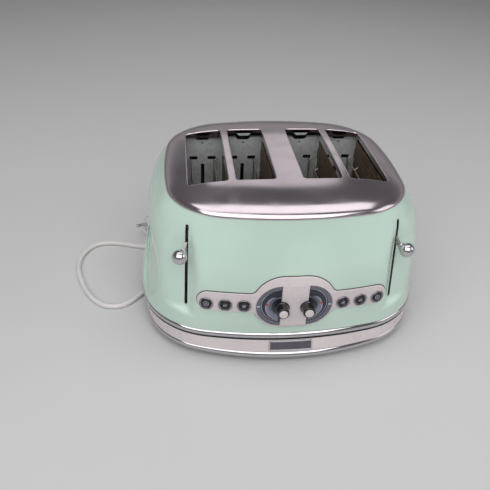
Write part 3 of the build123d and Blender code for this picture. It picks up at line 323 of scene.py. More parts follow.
def skin(name, rings, cap_first=False, cap_last=False, closed=False):
    """A surface through rings that have as many points each."""
    count = len(rings[0])
    points = [p for one in rings for p in one]
    faces = []
    pairs = len(rings) if closed else len(rings) - 1
    for i in range(pairs):
        low = i * count
        high = (i + 1) % len(rings) * count
        for j in range(count):
            k = (j + 1) % count
            faces.append((low + j, low + k, high + k, high + j))
    if cap_first:
        faces.append(tuple(range(count))[::-1])
    if cap_last:
        faces.append(tuple(range((len(rings) - 1) * count, len(rings) * count)))
    return mesh_piece(name, points, faces)


def lathe(name, profile, spot, direction, steps=64, sweep=360.0):
    """Spin a profile of radius and distance pairs about an axis that leaves a spot."""
    axis = Vector(direction).normalized()
    across = axis.orthogonal().normalized()
    if abs(axis.z) < 0.9:
        across = Vector((-axis.y, axis.x, 0)).normalized()
    start = Vector(spot)
    points = [start + across * r + axis * d for r, d in profile]
    data = bpy.data.meshes.new(name)
    data.from_pydata([p * 0.001 for p in points], [(i, i + 1) for i in range(len(points) - 1)], [])
    piece = bpy.data.objects.new(name, data)
    bpy.context.scene.collection.objects.link(piece)
    edit(piece, "VERT")
    bpy.ops.mesh.select_all(action="SELECT")
    bpy.ops.mesh.spin(
        steps=steps, angle=math.radians(sweep), center=start * 0.001, axis=axis, use_auto_merge=sweep == 360.0
    )
    done()
    return recalculate(piece)


def block(name, low, high, bevel=0.0, segments=3):
    """A box between two corners in millimetres, with its edges rounded."""
    alone(bpy.context.scene.objects[0])
    bpy.ops.object.select_all(action="DESELECT")
    low = Vector(low)
    high = Vector(high)
    bpy.ops.mesh.primitive_cube_add(size=1.0, location=(low + high) / 2 * 0.001)
    piece = bpy.context.object
    piece.name = name
    piece.scale = (high - low) * 0.001
    bpy.ops.object.transform_apply(location=True, rotation=True, scale=True)
    if bevel:
        modifier(piece, "BEVEL", width=bevel * 0.001, segments=segments, limit_method="ANGLE")
    return piece


def cut(piece, cutters, operation="DIFFERENCE"):
    """Cut pieces out of a piece and delete them."""
    tool = join("cutter", cutters) if len(cutters) > 1 else cutters[0]
    modifier(piece, "BOOLEAN", object=tool, operation=operation, solver="EXACT")
    bpy.data.objects.remove(tool, do_unlink=True)
    return piece


def flipped(piece, name):
    """A mirror copy of a right-hand piece for the left."""
    alone(piece)
    bpy.ops.object.duplicate()
    copy = bpy.context.object
    copy.name = name
    copy.data.name = name
    edit(copy)
    bpy.ops.mesh.select_all(action="SELECT")
    bpy.ops.transform.resize(value=(-1, 1, 1), center_override=(0, 0, 0))
    bpy.ops.mesh.flip_normals()
    done()
    return copy


def bend_to_front(piece):
    """Lay a flat piece on the body's front: its Y is its distance off the body."""
    for vertex in piece.data.vertices:
        place = vertex.co * 1000
        vertex.co.y += body_y(place.x, place.z) * 0.001
    piece.data.update()
    return piece


# Materials
EVEN = (1.0, 1.0, 1.0)
Layer = namedtuple("Layer", "socket grain stops stretch texture detail", defaults=(EVEN, "Noise", 3.0))


def tone(code):
    """A colour written as sRGB hex, as the linear values that a shader takes."""
    parts = [int(code[i : i + 2], 16) / 255 for i in (1, 3, 5)]
    return tuple(c / 12.92 if c <= 0.04045 else ((c + 0.055) / 1.055) ** 2.4 for c in parts) + (1.0,)


def node(owner, kind, links=(), **settings):
    """Add a shader node to a material or a world, set its values and link its inputs."""
    tree = owner.node_tree
    made = tree.nodes.new("ShaderNode" + kind)
    for name, value in settings.items():
        if hasattr(made, name):
            setattr(made, name, value)
        else:
            made.inputs[name.replace("_", " ")].default_value = value
    for socket, source in links:
        tree.links.new(source, made.inputs[socket])
    return made


def set_stops(made, stops):
    """Set a colour ramp's stops, from pairs of place and colour or grey."""
    points = made.color_ramp.elements
    while len(points) < len(stops):
        points.new(0.5)
    for point, (place, value) in zip(points, stops):
        point.position = place
        point.color = tone(value) if isinstance(value, str) else (value, value, value, 1.0)


def surface(name, layers, **settings):
    """A material: its shader's own values, and layers of texture whose grain is in millimetres.

    A layer drives one socket through its stops, which are places and values. The layers of the
    socket Normal add up, and their stops are a bump's strength and its depth in millimetres.
    """
    material = bpy.data.materials.new(name)
    material.use_nodes = True
    shader = material.node_tree.nodes["Principled BSDF"]
    for socket, value in settings.items():
        value = tone(value) if isinstance(value, str) else value
        shader.inputs[socket.replace("_", " ")].default_value = value
    place = node(material, "TexCoord").outputs["Object"]
    relief = []
    for layer in layers:
        where = node(material, "Mapping", [("Vector", place)], Scale=layer.stretch).outputs["Vector"]
        scale = 1000.0 / layer.grain
        texture = node(material, "Tex" + layer.texture, [("Vector", where)], Scale=scale, Detail=layer.detail)
        pattern = texture.outputs["Fac" if layer.texture == "Noise" else "Color"]
        if layer.socket == "Normal":
            strength, depth = layer.stops
            links = [("Height", pattern)] + relief
            made = node(material, "Bump", links, Strength=strength, Distance=depth * 0.001)
            relief = [("Normal", made.outputs["Normal"])]
        else:
            made = node(material, "ValToRGB", [("Fac", pattern)])
            set_stops(made, layer.stops)
        material.node_tree.links.new(made.outputs[0], shader.inputs[layer.socket])
    return material


def drawn(name, colour, low, high):
    """Drawn steel of one colour, its gloss streaked along Z between two values."""
    streaks = Layer("Roughness", 4.0, ((0.3, low), (0.7, high)), (1.0, 1.0, 0.2))
    return surface(name, [streaks], Metallic=1.0, Base_Color=colour)


def printed_ink(name, colour):
    """Screen-printed ink: matt, with a fine broken grain."""
    grain = Layer("Roughness", 0.8, ((0.3, 0.5), (0.7, 0.7)))
    return surface(name, [grain], Base_Color=colour)


MATERIALS = {
    # Sprayed and stoved enamel: a wet gloss over the faintest clouding and orange peel
    "enamel": surface(
        "mint baked enamel",
        [
            Layer("Base Color", 70.0, ((0.3, "#C6DDD0"), (0.7, "#CDE4D7")), detail=0.0),
            Layer("Roughness", 24.0, ((0.3, 0.2), (0.7, 0.26)), detail=0.0),
            Layer("Normal", 2.2, (0.05, 0.03)),
        ],
        IOR=1.5,
        Coat_Weight=0.6,
        Coat_Roughness=0.08,
    ),
    # Cream ABS: warm and slightly pink, softly glossy, with mould flow that only shows in its gloss
    "cream": surface(
        "cream ABS",
        [
            Layer("Base Color", 45.0, ((0.3, "#D6CBCE"), (0.7, "#DCD2D4")), detail=0.0),
            Layer("Roughness", 12.0, ((0.3, 0.26), (0.7, 0.33)), detail=1.0),
        ],
        IOR=1.53,
        Coat_Weight=0.25,
        Coat_Roughness=0.1,
    ),
    # Polished stainless steel: a near mirror, clouded by finger marks and crossed by hairline scratches
    "polished_steel": surface(
        "polished stainless steel",
        [
            Layer("Roughness", 34.0, ((0.3, 0.13), (0.52, 0.18), (0.72, 0.26)), detail=1.0),
            Layer("Normal", 3.0, (0.08, 0.02), (1.0, 0.05, 1.0)),
            Layer("Normal", 55.0, (0.12, 0.3)),
        ],
        Metallic=1.0,
        Base_Color="#D2C6CD",
    ),
    # Chrome plate: the sharpest mirror here, with only a slow ripple
    "chrome": surface(
        "chrome plate",
        [Layer("Roughness", 20.0, ((0.3, 0.05), (0.8, 0.12))), Layer("Normal", 14.0, (0.08, 0.05))],
        Metallic=1.0,
        Base_Color="#CBC8CC",
    ),
    # Galvanised sheet: dull zinc, dusty from toasting, whose crystals make flakes a few millimetres wide
    "galvanised": surface(
        "galvanised sheet",
        [
            Layer("Base Color", 5.0, ((0.1, "#A9AEAE"), (0.9, "#C9CDCC")), texture="Voronoi"),
            Layer("Roughness", 6.0, ((0.3, 0.42), (0.7, 0.6))),
        ],
        Metallic=0.3,
    ),
    # Mica board: pressed flakes in brown resin, their tone uneven, with the paler patches painted in as
    # glints of flakes catching the light
    "mica": surface(
        "mica board",
        [
            Layer("Base Color", 7.0, ((0.25, "#3A2C23"), (0.5, "#594637"), (0.75, "#7A6450"))),
            Layer("Normal", 7.0, (0.3, 0.2)),
        ],
        Roughness=0.55,
        IOR=1.56,
    ),
    # Plated wire: bright where it is worn, greyed by heat
    "wire_grille": drawn("plated wire", "#B9B5AE", 0.28, 0.46),
    # Black phenolic: deep black under a hard gloss that fingers have dulled in places
    "black_plastic": surface(
        "black phenolic",
        [Layer("Roughness", 6.0, ((0.3, 0.14), (0.7, 0.26)))],
        Base_Color="#141315",
        IOR=1.55,
        Coat_Weight=0.4,
        Coat_Roughness=0.05,
    ),
    # Satin moulding printed navy: the dark ground of the browning scale
    "dial": surface(
        "navy printed dial",
        [Layer("Base Color", 8.0, ((0.3, "#272836"), (0.7, "#303243"))), Layer("Normal", 0.9, (0.1, 0.02))],
        Roughness=0.36,
    ),
    # Slate grey moulding: the dial's raised ring, with a soft sheen
    "dial_grey": surface(
        "slate grey moulding",
        [Layer("Base Color", 8.0, ((0.3, "#5C5D6B"), (0.7, "#686976"))), Layer("Normal", 0.9, (0.1, 0.02))],
        Roughness=0.3,
        Coat_Weight=0.3,
    ),
    # Moulded rubber: dull, with a fine sandy grain
    "rubber": surface(
        "black rubber",
        [Layer("Normal", 0.7, (0.3, 0.06))],
        Base_Color="#171717",
        Roughness=0.75,
    ),
    # White PVC sheath: soft satin, a little soiled along its length
    "cord": surface(
        "white PVC sheath",
        [Layer("Base Color", 30.0, ((0.3, "#DDD8D8"), (0.7, "#E9E6E6"))), Layer("Normal", 1.2, (0.15, 0.04))],
        Roughness=0.42,
        IOR=1.53,
    ),
    # White PVC moulding: as the sheath, smoother and glossier
    "plug": surface(
        "white PVC moulding",
        [Layer("Base Color", 22.0, ((0.3, "#DDD8DA"), (0.7, "#E7E3E5"))), Layer("Normal", 1.8, (0.1, 0.03))],
        Roughness=0.34,
        IOR=1.53,
    ),
    # Glass-fibre board under green solder resist, patchy where copper lies beneath
    "board": surface(
        "green circuit board",
        [Layer("Base Color", 2.5, ((0.4, "#1D4A2C"), (0.6, "#2A5F3A")))],
        Roughness=0.35,
    ),
    # Varnished copper winding: dark red-brown, with a wire's fine streaks
    "magnet": surface(
        "varnished winding",
        [Layer("Base Color", 1.0, ((0.3, "#5A2E1C"), (0.7, "#7A4630")), (1.0, 1.0, 0.3))],
        Metallic=0.6,
        Roughness=0.4,
    ),
    # Plated steel strip: grey, streaked along its drawn length
    "steel": drawn("plated steel strip", "#A8A5A0", 0.27, 0.45),
}

# Heating ribbon: nichrome gone brown and satin with heat
NICHROME = drawn("oxidised heating ribbon", "#8A7767", 0.37, 0.55)
# Grey primer: the inside of the pressed body, chalky and uneven where the spray thinned out
PRIMER = surface(
    "grey primer",
    [
        Layer("Base Color", 9.0, ((0.3, "#5C5D60"), (0.7, "#6C6D70"))),
        Layer("Roughness", 3.0, ((0.3, 0.6), (0.7, 0.8))),
    ],
)
# Smoked foil: a dark mirror, as in the buttons
SMOKED = drawn("smoked metal foil", "#4A4750", 0.22, 0.4)
# Chrome with its colour darkened: a painted dark reflection on the bezels, and a painted shadow line along
# the dials' edging
PAINTED_DARK_CHROME = drawn("chrome darkened as painted reflection and shade", "#97939B", 0.06, 0.12)
# Satin aluminium: the bare field of the plate
SATIN = drawn("satin aluminium", "#77757D", 0.3, 0.45)
INKS = {
    "white": printed_ink("white screen ink", "#D9D9E2"),
    "lilac": printed_ink("lilac screen ink", "#85879F"),
    "red": printed_ink("red screen ink", "#B23844"),
    "grey": printed_ink("grey screen ink", "#B4B4BE"),
}

ROOT = "toaster_body"
SIDES = (("left", -1), ("right", 1))


def dress(piece, slot):
    """Give a piece the material of its slot."""
    piece.data.materials.clear()
    piece.data.materials.append(MATERIALS[slot])
    return piece


def add_detail(piece, slot, body=ROOT, material=None):
    """Finish a piece that stands for no CAD node; its material may be another than its slot's."""
    dress(piece, slot)
    if material:
        piece.data.materials[0] = material
    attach(piece, body)
    return piece


def stand_for(piece, slot, body, *nodes):
    """Finish a piece that replaces CAD nodes and rides on a body."""
    dress(piece, slot)
    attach(piece, body)
    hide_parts(*nodes)
    return piece


# Each CAD node that stays gets its slot's material
for entry in frame["record"]["subparts"]:
    cad_node = bpy.data.objects[entry["node"]]
    cad_node.data.materials.clear()
    cad_node.data.materials.append(MATERIALS[entry["material_slot"]])

# The lever scoop on the right front corner
LEVER_YAW = math.radians(25.0)
LEVER_OUT = Vector((math.sin(LEVER_YAW), -math.cos(LEVER_YAW), 0))
FLOOR_OUT = Vector((math.cos(LEVER_YAW), math.sin(LEVER_YAW), 0))
SLOT_TOP_Z = 167.7
SLOT_BOTTOM_Z = 65.8
VALLEY_TOP = Vector((116.4, -112.0, SLOT_TOP_Z))
VALLEY_RAKE = 7.7
STEP_OFFSET = 2.4
STEP_SLANT = math.radians(30.0)
SCOOP_FOOT_SLOPE = math.radians(40.0)
LEVER_SLOT_WIDTH = 4.0
LEVER_SLOT_REACH = 20
LEVER_SLOT_ROUND = 0.49
LEAN = (Vector((0, 0, SLOT_TOP_Z - SLOT_BOTTOM_Z)) - LEVER_OUT * VALLEY_RAKE).normalized()
SCOOP_ROUNDING = 3.0
MEDALLION_CENTRE = (-62.0, 90.0)
MEDALLION_HALF = (37.0, 42.0)
MEDALLION_DEPTH = 2.5
MEDALLION_EDGE = 2.4
FLANK_X = 60.0


def scoop_walls():
    """The scoop's three walls for the right side: a point on each and its outward normal."""
    floor = FLOOR_OUT.cross(LEAN).normalized()
    floor = floor if floor.dot(LEVER_OUT) > 0 else -floor
    step_out = Vector((-math.sin(STEP_SLANT), -math.cos(STEP_SLANT), 0))
    step = step_out.cross(LEAN).normalized()
    step = step if step.dot(FLOOR_OUT) > 0 else -step
    foot = LEVER_OUT * math.sin(SCOOP_FOOT_SLOPE) + Vector((0, 0, math.cos(SCOOP_FOOT_SLOPE)))
    foot_spot = VALLEY_TOP + LEVER_OUT * VALLEY_RAKE
    foot_spot.z = SLOT_BOTTOM_Z - STEP_OFFSET
    return (
        (VALLEY_TOP, floor),
        (VALLEY_TOP - FLOOR_OUT * STEP_OFFSET, step),
        (foot_spot, foot),
    )


SCOOP_WALLS = scoop_walls()
FAR_SHARE = 9.0


def smooth_min(a, b, width):
    overlap = max(width - abs(a - b), 0.0)
    return min(a, b) - overlap * overlap / (4 * width)


def pressed(place):
    """Move a point of the body's form inwards where the scoop or the oval field is pressed.

    The point lies at share 1 of its way out from the axis, and each wall cuts that way at a share.
    """
    side = -1 if place.x < 0 else 1
    point = Vector((abs(place.x), place.y, place.z))
    centre = Vector((0, 0, point.z))
    reach = (point - centre).length
    enter = -FAR_SHARE
    for spot, out in SCOOP_WALLS:
        inside = (centre - spot).dot(out)
        outside = (point - spot).dot(out)
        share = FAR_SHARE if outside <= inside else inside / (inside - outside)
        enter = -smooth_min(-enter, -share, SCOOP_ROUNDING / reach)
    share = smooth_min(1.0, enter, SCOOP_ROUNDING / reach)
    y_off = (point.y - MEDALLION_CENTRE[0]) / MEDALLION_HALF[0]
    z_off = (point.z - MEDALLION_CENTRE[1]) / MEDALLION_HALF[1]
    if point.x > FLANK_X:
        from_edge = (1 - math.hypot(y_off, z_off)) * MEDALLION_HALF[0]
        depth = clamp(from_edge / MEDALLION_EDGE + 0.5)
        share -= MEDALLION_DEPTH * depth * depth * (3 - 2 * depth) / reach
    point = centre + (point - centre) * share
    return Vector((point.x * side, point.y, point.z))


SHELL_ROWS = 92
SHELL_FRONT_STEPS = (26, 84, 44)
SHELL_BACK_STEPS = (14, 26, 20)
BEAD_PATH_GROW = 0.5
BEAD_R = 0.75
BEAD_SUNK = 0.25
BEAD_STEPS = 120
BEAD_SIDES = 8


def side_x(o, y):
    """How far out an outline's side lies at a place."""
    _, corner_c, side_c = centres(o)
    side_end = side_c + (corner_c - side_c).normalized() * o.side_r
    past = abs(y) > abs(side_end.y)
    centre, radius = (corner_c, o.corner_r) if past else (side_c, o.side_r)
    return centre.x + math.sqrt(radius**2 - (abs(y) + centre.y) ** 2)


def make_oval_beads():
    """The rolled line round the oval field on each flank."""
    beads = []
    for _, side in SIDES:
        rings = []
        for step in range(BEAD_STEPS):
            turn = math.radians(360 / BEAD_STEPS * step)
            y = MEDALLION_CENTRE[0] + (MEDALLION_HALF[0] + BEAD_PATH_GROW) * math.cos(turn)
            z = MEDALLION_CENTRE[1] + (MEDALLION_HALF[1] + BEAD_PATH_GROW) * math.sin(turn)
            middle = Vector((side_x(body_outline(z), y) - BEAD_SUNK, y, z))
            along = Vector((0, math.cos(turn), math.sin(turn)))
            loop = []
            for i in range(BEAD_SIDES):
                a = math.radians(360 / BEAD_SIDES * i)
                p = middle + along * BEAD_R * math.cos(a) + Vector((BEAD_R * math.sin(a), 0, 0))
                loop.append(Vector((side * p.x, p.y, p.z)))
            rings.append(loop)
        beads.append(recalculate(skin("bead", rings, closed=True)))
    line = join("oval_beads", beads)
    add_detail(finish_shape(line, 60.0), "enamel")


def lever_slot_cutter(side):
    """A rounded upright bar that cuts the lever's slot."""
    middle = VALLEY_TOP + Vector((0, 0, (SLOT_BOTTOM_Z - SLOT_TOP_Z) / 2))
    half = Vector((LEVER_SLOT_WIDTH / 2, LEVER_SLOT_REACH, (SLOT_TOP_Z - SLOT_BOTTOM_Z) / 2))
    bar = block("slot cutter", -half, half)
    edit(bar, "EDGE", lambda at, way: abs(way.y) > 0.9)
    bpy.ops.mesh.bevel(offset=LEVER_SLOT_WIDTH * LEVER_SLOT_ROUND * 0.001, segments=6)
    done()
    bar.rotation_euler.z = LEVER_YAW
    bar.location = middle * 0.001
    alone(bar)
    bpy.ops.object.transform_apply(location=True, rotation=True, scale=True)
    return bar if side > 0 else replace_with_flip(bar)


def replace_with_flip(piece):
    copy = flipped(piece, piece.name + " left")
    bpy.data.objects.remove(piece, do_unlink=True)
    return copy


def make_body_shell():
    """The pressed body: a smooth skin through many outlines, with a wall."""
    rings = []
    for row in range(SHELL_ROWS + 1):
        z = mix(HEM_Z, NECK_Z, row / SHELL_ROWS)
        outline = ring(body_outline(z), 0.0, SHELL_FRONT_STEPS, SHELL_BACK_STEPS)
        rings.append([pressed(p) for p in outline])
    shell = skin("enamel_shell", rings)
    modifier(shell, "SOLIDIFY", thickness=SHELL_WALL * 0.001, offset=-1.0)
    cut(shell, [lever_slot_cutter(side) for _, side in SIDES])
    finish_shape(shell, 40.0)
    stand_for(shell, "enamel", ROOT, "body_shell")
    shell.data.materials.append(PRIMER)
    edit(shell, "FACE", lambda at, normal: at.x * normal.x + at.y * normal.y < 0)
    shell.active_material_index = 1
    bpy.ops.object.material_slot_assign()
    done()


# The polished cover
CENTRE_BRIDGE = 31.6
PAIR_BRIDGE = 9.3
SLOT_WIDTH = 44.2
SLOT_LENGTH = 140.0
SLOT_CORNER_R = 4.0
SLOT_FLANGE = 5.0
SLOT_LIP = 1.3
COVER_WALL = 1.0
TAB_TOP_WIDTH = 26.0
TAB_FOOT_WIDTH = 12.0
TAB_LENGTH = 8.7
TAB_SEAT = 2.0
RIM_ROLL_SHARE = 0.09
RIM_ROLL_DROP = 4.2
RIM_ROLL_CORNER = 0.5
RIM_ROLL_STEPS = 10
DOME_MIDDLE = 0.5
DOME_CENTRE = 0.05
DOME_STEPS = (30, 14)
HALVINGS = 22
LIP_STEPS = 6
LIP_OVERLAP = 0.25
LIP_RISE = 0.12
LIP_TURN_BACK = 0.6
SLOT_CUT_GROW = 0.1
SLOT_CUT_Z = (LIP_Z - 20, LIP_Z + 30)
SLOT_POINT_GAP = 3.0
SLOT_XS = (CENTRE_BRIDGE / 2 + SLOT_WIDTH / 2, CENTRE_BRIDGE / 2 + SLOT_WIDTH * 1.5 + PAIR_BRIDGE)
COVER_STEPS = (22, 26, 20)


def dome_share(x, y):
    """The share of the cover's spread at which a place lies, by halving."""
    low, high = 0.0, 1.1
    neck = dome_outline(1.0)
    for _ in range(HALVINGS):
        middle = (low + high) / 2
        if inside_outline(neck, x / middle, y / middle):
            high = middle
        else:
            low = middle
    return (low + high) / 2


def inside_outline(o, x, y):
    """Whether a place is inside an outline: inside both its wide circles and its corner."""
    spot = Vector((abs(x), -abs(y)))
    front_c, corner_c, side_c = centres(o)
    if (spot - front_c).length > o.front_r or (spot - side_c).length > o.side_r:
        return False
    past_front = (corner_c - front_c).cross(spot - front_c) > 0
    past_side = (corner_c - side_c).cross(spot - side_c) < 0
    return not (past_front and past_side) or (spot - corner_c).length <= o.corner_r


def dome_z(x, y):
    return LIP_Z + DOME_RISE * (1 - clamp(dome_share(x, y)) ** DOME_POWER)


def slot_loop(x, grow):
    """A bread slot's rounded outline, grown by a distance."""
    radius = SLOT_CORNER_R + grow
    half = (SLOT_WIDTH / 2 + grow, SLOT_LENGTH / 2 + grow)
    loop = []
    for quadrant in range(4):
        sx = 1 if quadrant in (0, 3) else -1
        sy = 1 if quadrant in (0, 1) else -1
        corner = Vector((x + sx * (half[0] - radius), sy * (half[1] - radius)))
        for step in range(LIP_STEPS + 1):
            angle = math.pi / 2 * (quadrant + step / LIP_STEPS)
            loop.append(corner + Vector((math.cos(angle), math.sin(angle))) * radius)
        following = [loop[-1]]
        length = 2 * (half[1] - radius) if quadrant in (1, 3) else 2 * (half[0] - radius)
        count = int(length / SLOT_POINT_GAP)
        way = Vector((-math.sin(math.pi / 2 * (quadrant + 1)), math.cos(math.pi / 2 * (quadrant + 1))))
        loop += [following[0] + way * length * i / count for i in range(1, count)]
    return loop


def slot_lip(x):
    """The rolled lip of a bread slot: it leaves the dome, turns down and hangs as a flange."""
    lip_profile = [(SLOT_LIP + LIP_OVERLAP, -0.5), (SLOT_LIP + 0.2, 0.03)]
    for step in range(LIP_STEPS + 1):
        angle = math.pi / 2 * step / LIP_STEPS
        lip_profile.append((SLOT_LIP * (1 - math.sin(angle)), SLOT_LIP * (math.cos(angle) - 1) + LIP_RISE))
    lip_profile += [(0.0, -SLOT_FLANGE), (COVER_WALL, -SLOT_FLANGE), (COVER_WALL, -SLOT_LIP - LIP_TURN_BACK)]
    outer = slot_loop(x, SLOT_LIP)
    heights = [dome_z(p.x, p.y) for p in outer]
    lowest = min(heights)
    rings = []
    for grow, drop in lip_profile:
        loop = slot_loop(x, grow)
        base = [mix(h, lowest, clamp((-drop - SLOT_LIP) / (SLOT_FLANGE - SLOT_LIP))) for h in heights]
        rings.append([Vector((p.x, p.y, h + drop)) for p, h in zip(loop, base)])
    return skin("slot lip", rings, closed=True)


def slot_tab(x):
    """The tapered tab that hangs from the rear of a slot."""
    y = SLOT_LENGTH / 2 + COVER_WALL / 2
    top = dome_z(x, y) - TAB_SEAT
    foot = LIP_Z + DOME_RISE - COVER_WALL - TAB_LENGTH
    wide = TAB_TOP_WIDTH / 2
    narrow = TAB_FOOT_WIDTH / 2
    outline = ((-wide, top), (wide, top), (narrow, foot), (-narrow, foot))
    half = COVER_WALL / 2
    points = [Vector((x + dx, y + dy, z)) for dy in (-half, half) for dx, z in outline]
    return recalculate(mesh_piece("tab", points, BOX_FACES))


def rim_roll(t):
    """The cover's outline and growth at a share of its rolled rim, from the upright lip onto the dome."""
    share = 1 - RIM_ROLL_SHARE * t * t
    top = dome_outline(1 - RIM_ROLL_SHARE).z
    corner = LIP_Z + RIM_ROLL_CORNER
    z = (1 - t) ** 2 * (LIP_Z - RIM_ROLL_DROP) + 2 * t * (1 - t) * corner + t * t * top
    return dome_outline(share)._replace(z=z), COVER_PROUD * (1 - t) ** 2


def make_top_cover():
    """The domed cover: skin, wall, four cut slots and their rolled lips."""
    rim = dome_outline(1.0)
    rings = [ring(rim._replace(z=NECK_Z), COVER_PROUD, COVER_STEPS, COVER_STEPS)]
    steps = RIM_ROLL_STEPS
    rings += [ring(*rim_roll(i / steps), COVER_STEPS, COVER_STEPS) for i in range(steps + 1)]
    shares = []
    for start, end, steps in (
        (1 - RIM_ROLL_SHARE, DOME_MIDDLE, DOME_STEPS[0]),
        (DOME_MIDDLE, DOME_CENTRE, DOME_STEPS[1]),
    ):
        shares += [mix(start, end, i / steps) for i in range(1, steps + 1)]
    rings += [ring(dome_outline(share), 0.0, COVER_STEPS, COVER_STEPS) for share in shares]
    cover = skin("steel_cover", rings, cap_last=True)
    modifier(cover, "SOLIDIFY", thickness=COVER_WALL * 0.001, offset=-1.0)
    cutters = []
    for _, side in SIDES:
        for x in SLOT_XS:
            loop = slot_loop(side * x, SLOT_LIP + SLOT_CUT_GROW)
            rings = [[Vector((p.x, p.y, z)) for p in loop] for z in SLOT_CUT_Z]
            cutters.append(recalculate(skin("cutter", rings, True, True)))
    cut(cover, cutters)
    lips = [recalculate(slot_lip(side * x)) for _, side in SIDES for x in SLOT_XS]
    cover = join("steel_cover", [cover] + lips)
    finish_shape(cover, 32.0)
    stand_for(cover, "polished_steel", ROOT, "top_cover", "slot_flanges")
    tabs = join("slot_tabs", [slot_tab(side * x) for _, side in SIDES for x in SLOT_XS])
    add_detail(finish_shape(tabs), "galvanised")


# The base's trim, as distances off the base; the cream band is the CAD one
# A black strip under the upper bead: a painted shadow line between the bead and the band
SHADOW_STRIP_HEIGHT = 1.3
SHADOW_STRIP_PROUD = 0.2
SHADOW_STRIP_SEAT = -1.0
BEAD_ROUNDING = 2.4
BEAD_SEAT = -1.5
UPPER_BEAD_BACK = -3.0
LOWER_BEAD_BACK = -9.0


def ring_piece(name, profile, steps=(20, 26, 20)):
    """A ring round the flared base, from pairs of distance off the base and height."""
    rings = [ring(band_outline(z), grow, steps, steps) for grow, z in profile]
    return recalculate(skin(name, rings, closed=True))


def bead(low, high, inner):
    """A rounded bead's profile between two heights."""
    middle = (low + high) / 2
    half = (high - low) / 2
    points = [(inner, low), (BEAD_SEAT, low)]
    for step in range(9):
        angle = math.radians(-80 + 20 * step)
        proud = TRIM_PROUD - BEAD_ROUNDING + BEAD_ROUNDING * math.cos(angle)
        points.append((proud, middle + half * math.sin(angle)))
    return points + [(BEAD_SEAT, high), (inner, high)]


def make_base():
    """The two chrome beads, and a black strip under the upper one that paints the shadow line between bead
    and band.
    """
    upper = ring_piece("upper_bead", bead(TRIM_Z, HEM_Z, UPPER_BEAD_BACK))
    stand_for(finish_shape(upper), "chrome", ROOT, "upper_trim_ring")
    lower = ring_piece("lower_bead", bead(BASE_Z, BAND_Z, LOWER_BEAD_BACK))
    stand_for(finish_shape(lower), "chrome", ROOT, "lower_trim_ring")
    # The black strip under the upper bead paints the shadow line where bead and band meet; it takes the
    # rubber material
    low = TRIM_Z - SHADOW_STRIP_HEIGHT
    profile = [(SHADOW_STRIP_SEAT, low), (SHADOW_STRIP_PROUD - 0.1, low), (SHADOW_STRIP_PROUD, low + 0.2)]
    profile += [(SHADOW_STRIP_PROUD, TRIM_Z), (SHADOW_STRIP_SEAT, TRIM_Z)]
    shadow_strip = ring_piece("trim_painted_shadow", profile)
    add_detail(finish_shape(shadow_strip), "rubber")


make_body_shell()
make_oval_beads()
make_top_cover()
make_base()

# The control fascia, seen from the front in X and Z
CONTROL_Z = 82.0
FASCIA_Z = CONTROL_Z + 3.0
RACETRACK_HALF_LENGTH = 47.0
RACETRACK_R = 35.5
RACETRACK_PROUD = 4.4
WING_HALF_LENGTH = 107.6
WING_HALF_HEIGHT = 13.0
WING_PROUD = 2.0
FASCIA_BLEND_R = 8.0
FASCIA_SEAT = 0.25
FASCIA_ROUNDING = 0.6
GASKET_PROUD = 0.55
GASKET_EDGE = 0.6
KNOB_X = 14.4
PANEL_HALF_WIDTH = 15.0
DIAL_R = 28.6
DIAL_RING_R = 23.4
SHAFT_EDGE_GAP = 0.3
DIAL_EDGE = 1.1
DIAL_GAP = 0.25
DIAL_PLATE = 1.45
DIAL_RING_PROUD = 3.1
PRINT_PROUD = 0.12
PRINT_LIFT = 0.02
SHAFT_HOLE_R = 3.4
HUB_RADII = (12.8, 11.3)
HUB_RISE = 0.9
CRESCENT_R = 14.6
CRESCENT_TOP_R = (21.2, 15.0)
CRESCENT_SPAN = (-82, 50)
SCALE_LINE_R = (22.3, 22.75)
SCALE_LINE_SPAN = (-84, 84)
HUB_LINE_R = (13.7, 14.0)
HUB_LINE_SPAN = (-78, 60)
EDGE_LINE_WIDTH = 0.4
TICK_RADII = (24.0, 27.6)
TICK_SPAN = (-1.6, 1.6)
RED_RADII = (15.4, 18.2)
RED_SPAN = (2, 12)
HUB_ROUNDING = 0.3
RING_ROUNDING = 0.45
EDGING_ROUNDING = 0.22
EDGING_SUNK = 0.3
EDGING_PROUD = 0.35
EDGING_GROW = 0.1
BUTTON_OFFSETS = (55.7, 76.3, 97.0)
BUTTON_KINDS = ("defrost", "reheat", "cancel")
BUTTON_HOLE_R = 6.5


def arc_points(x, z, radius, start, end, step=3.0):
    """Points on an arc in X and Z, between two angles in degrees."""
    count = max(2, math.ceil(abs(end - start) / step))
    angles = [math.radians(mix(start, end, i / count)) for i in range(count + 1)]
    return [(x + radius * math.cos(a), z + radius * math.sin(a)) for a in angles]


def fascia_loop(grow=0.0):
    """The fascia's outline: a racetrack that blends into two wings."""
    radius = RACETRACK_R + grow
    blend = FASCIA_BLEND_R - grow
    height = WING_HALF_HEIGHT + grow
    bend_x = RACETRACK_HALF_LENGTH - RACETRACK_R
    blend_z = height + blend
    blend_x = bend_x + math.sqrt((radius + blend) ** 2 - blend_z**2)
    meet = math.degrees(math.atan2(blend_z, blend_x - bend_x))
    tip_x = WING_HALF_LENGTH - WING_HALF_HEIGHT
    right = arc_points(bend_x, 0, radius, 90, meet)
    right += arc_points(blend_x, blend_z, blend, 180 + meet, 270, 6.0)
    right += arc_points(tip_x, 0, height, 90, 0, 6.0)
    lower = [(x, -z) for x, z in right[-2::-1]]
    half = right + lower
    loop = half + [(-x, z) for x, z in half[::-1]]
    return [(x, z + FASCIA_Z) for x, z in loop]


def half_dial_loop(side, radius, inner=0.0, gap=0.0):
    """A half disc or half ring outboard of a dial's straight edge."""
    edge = PANEL_HALF_WIDTH + gap - KNOB_X
    reach = math.degrees(math.acos(edge / radius))
    loop = arc_points(0, CONTROL_Z, radius, -reach, reach)
    if inner:
        reach = math.degrees(math.acos(edge / inner))
        loop += arc_points(0, CONTROL_Z, inner, reach, -reach)
    return [(side * (KNOB_X + x), z) for x, z in loop]


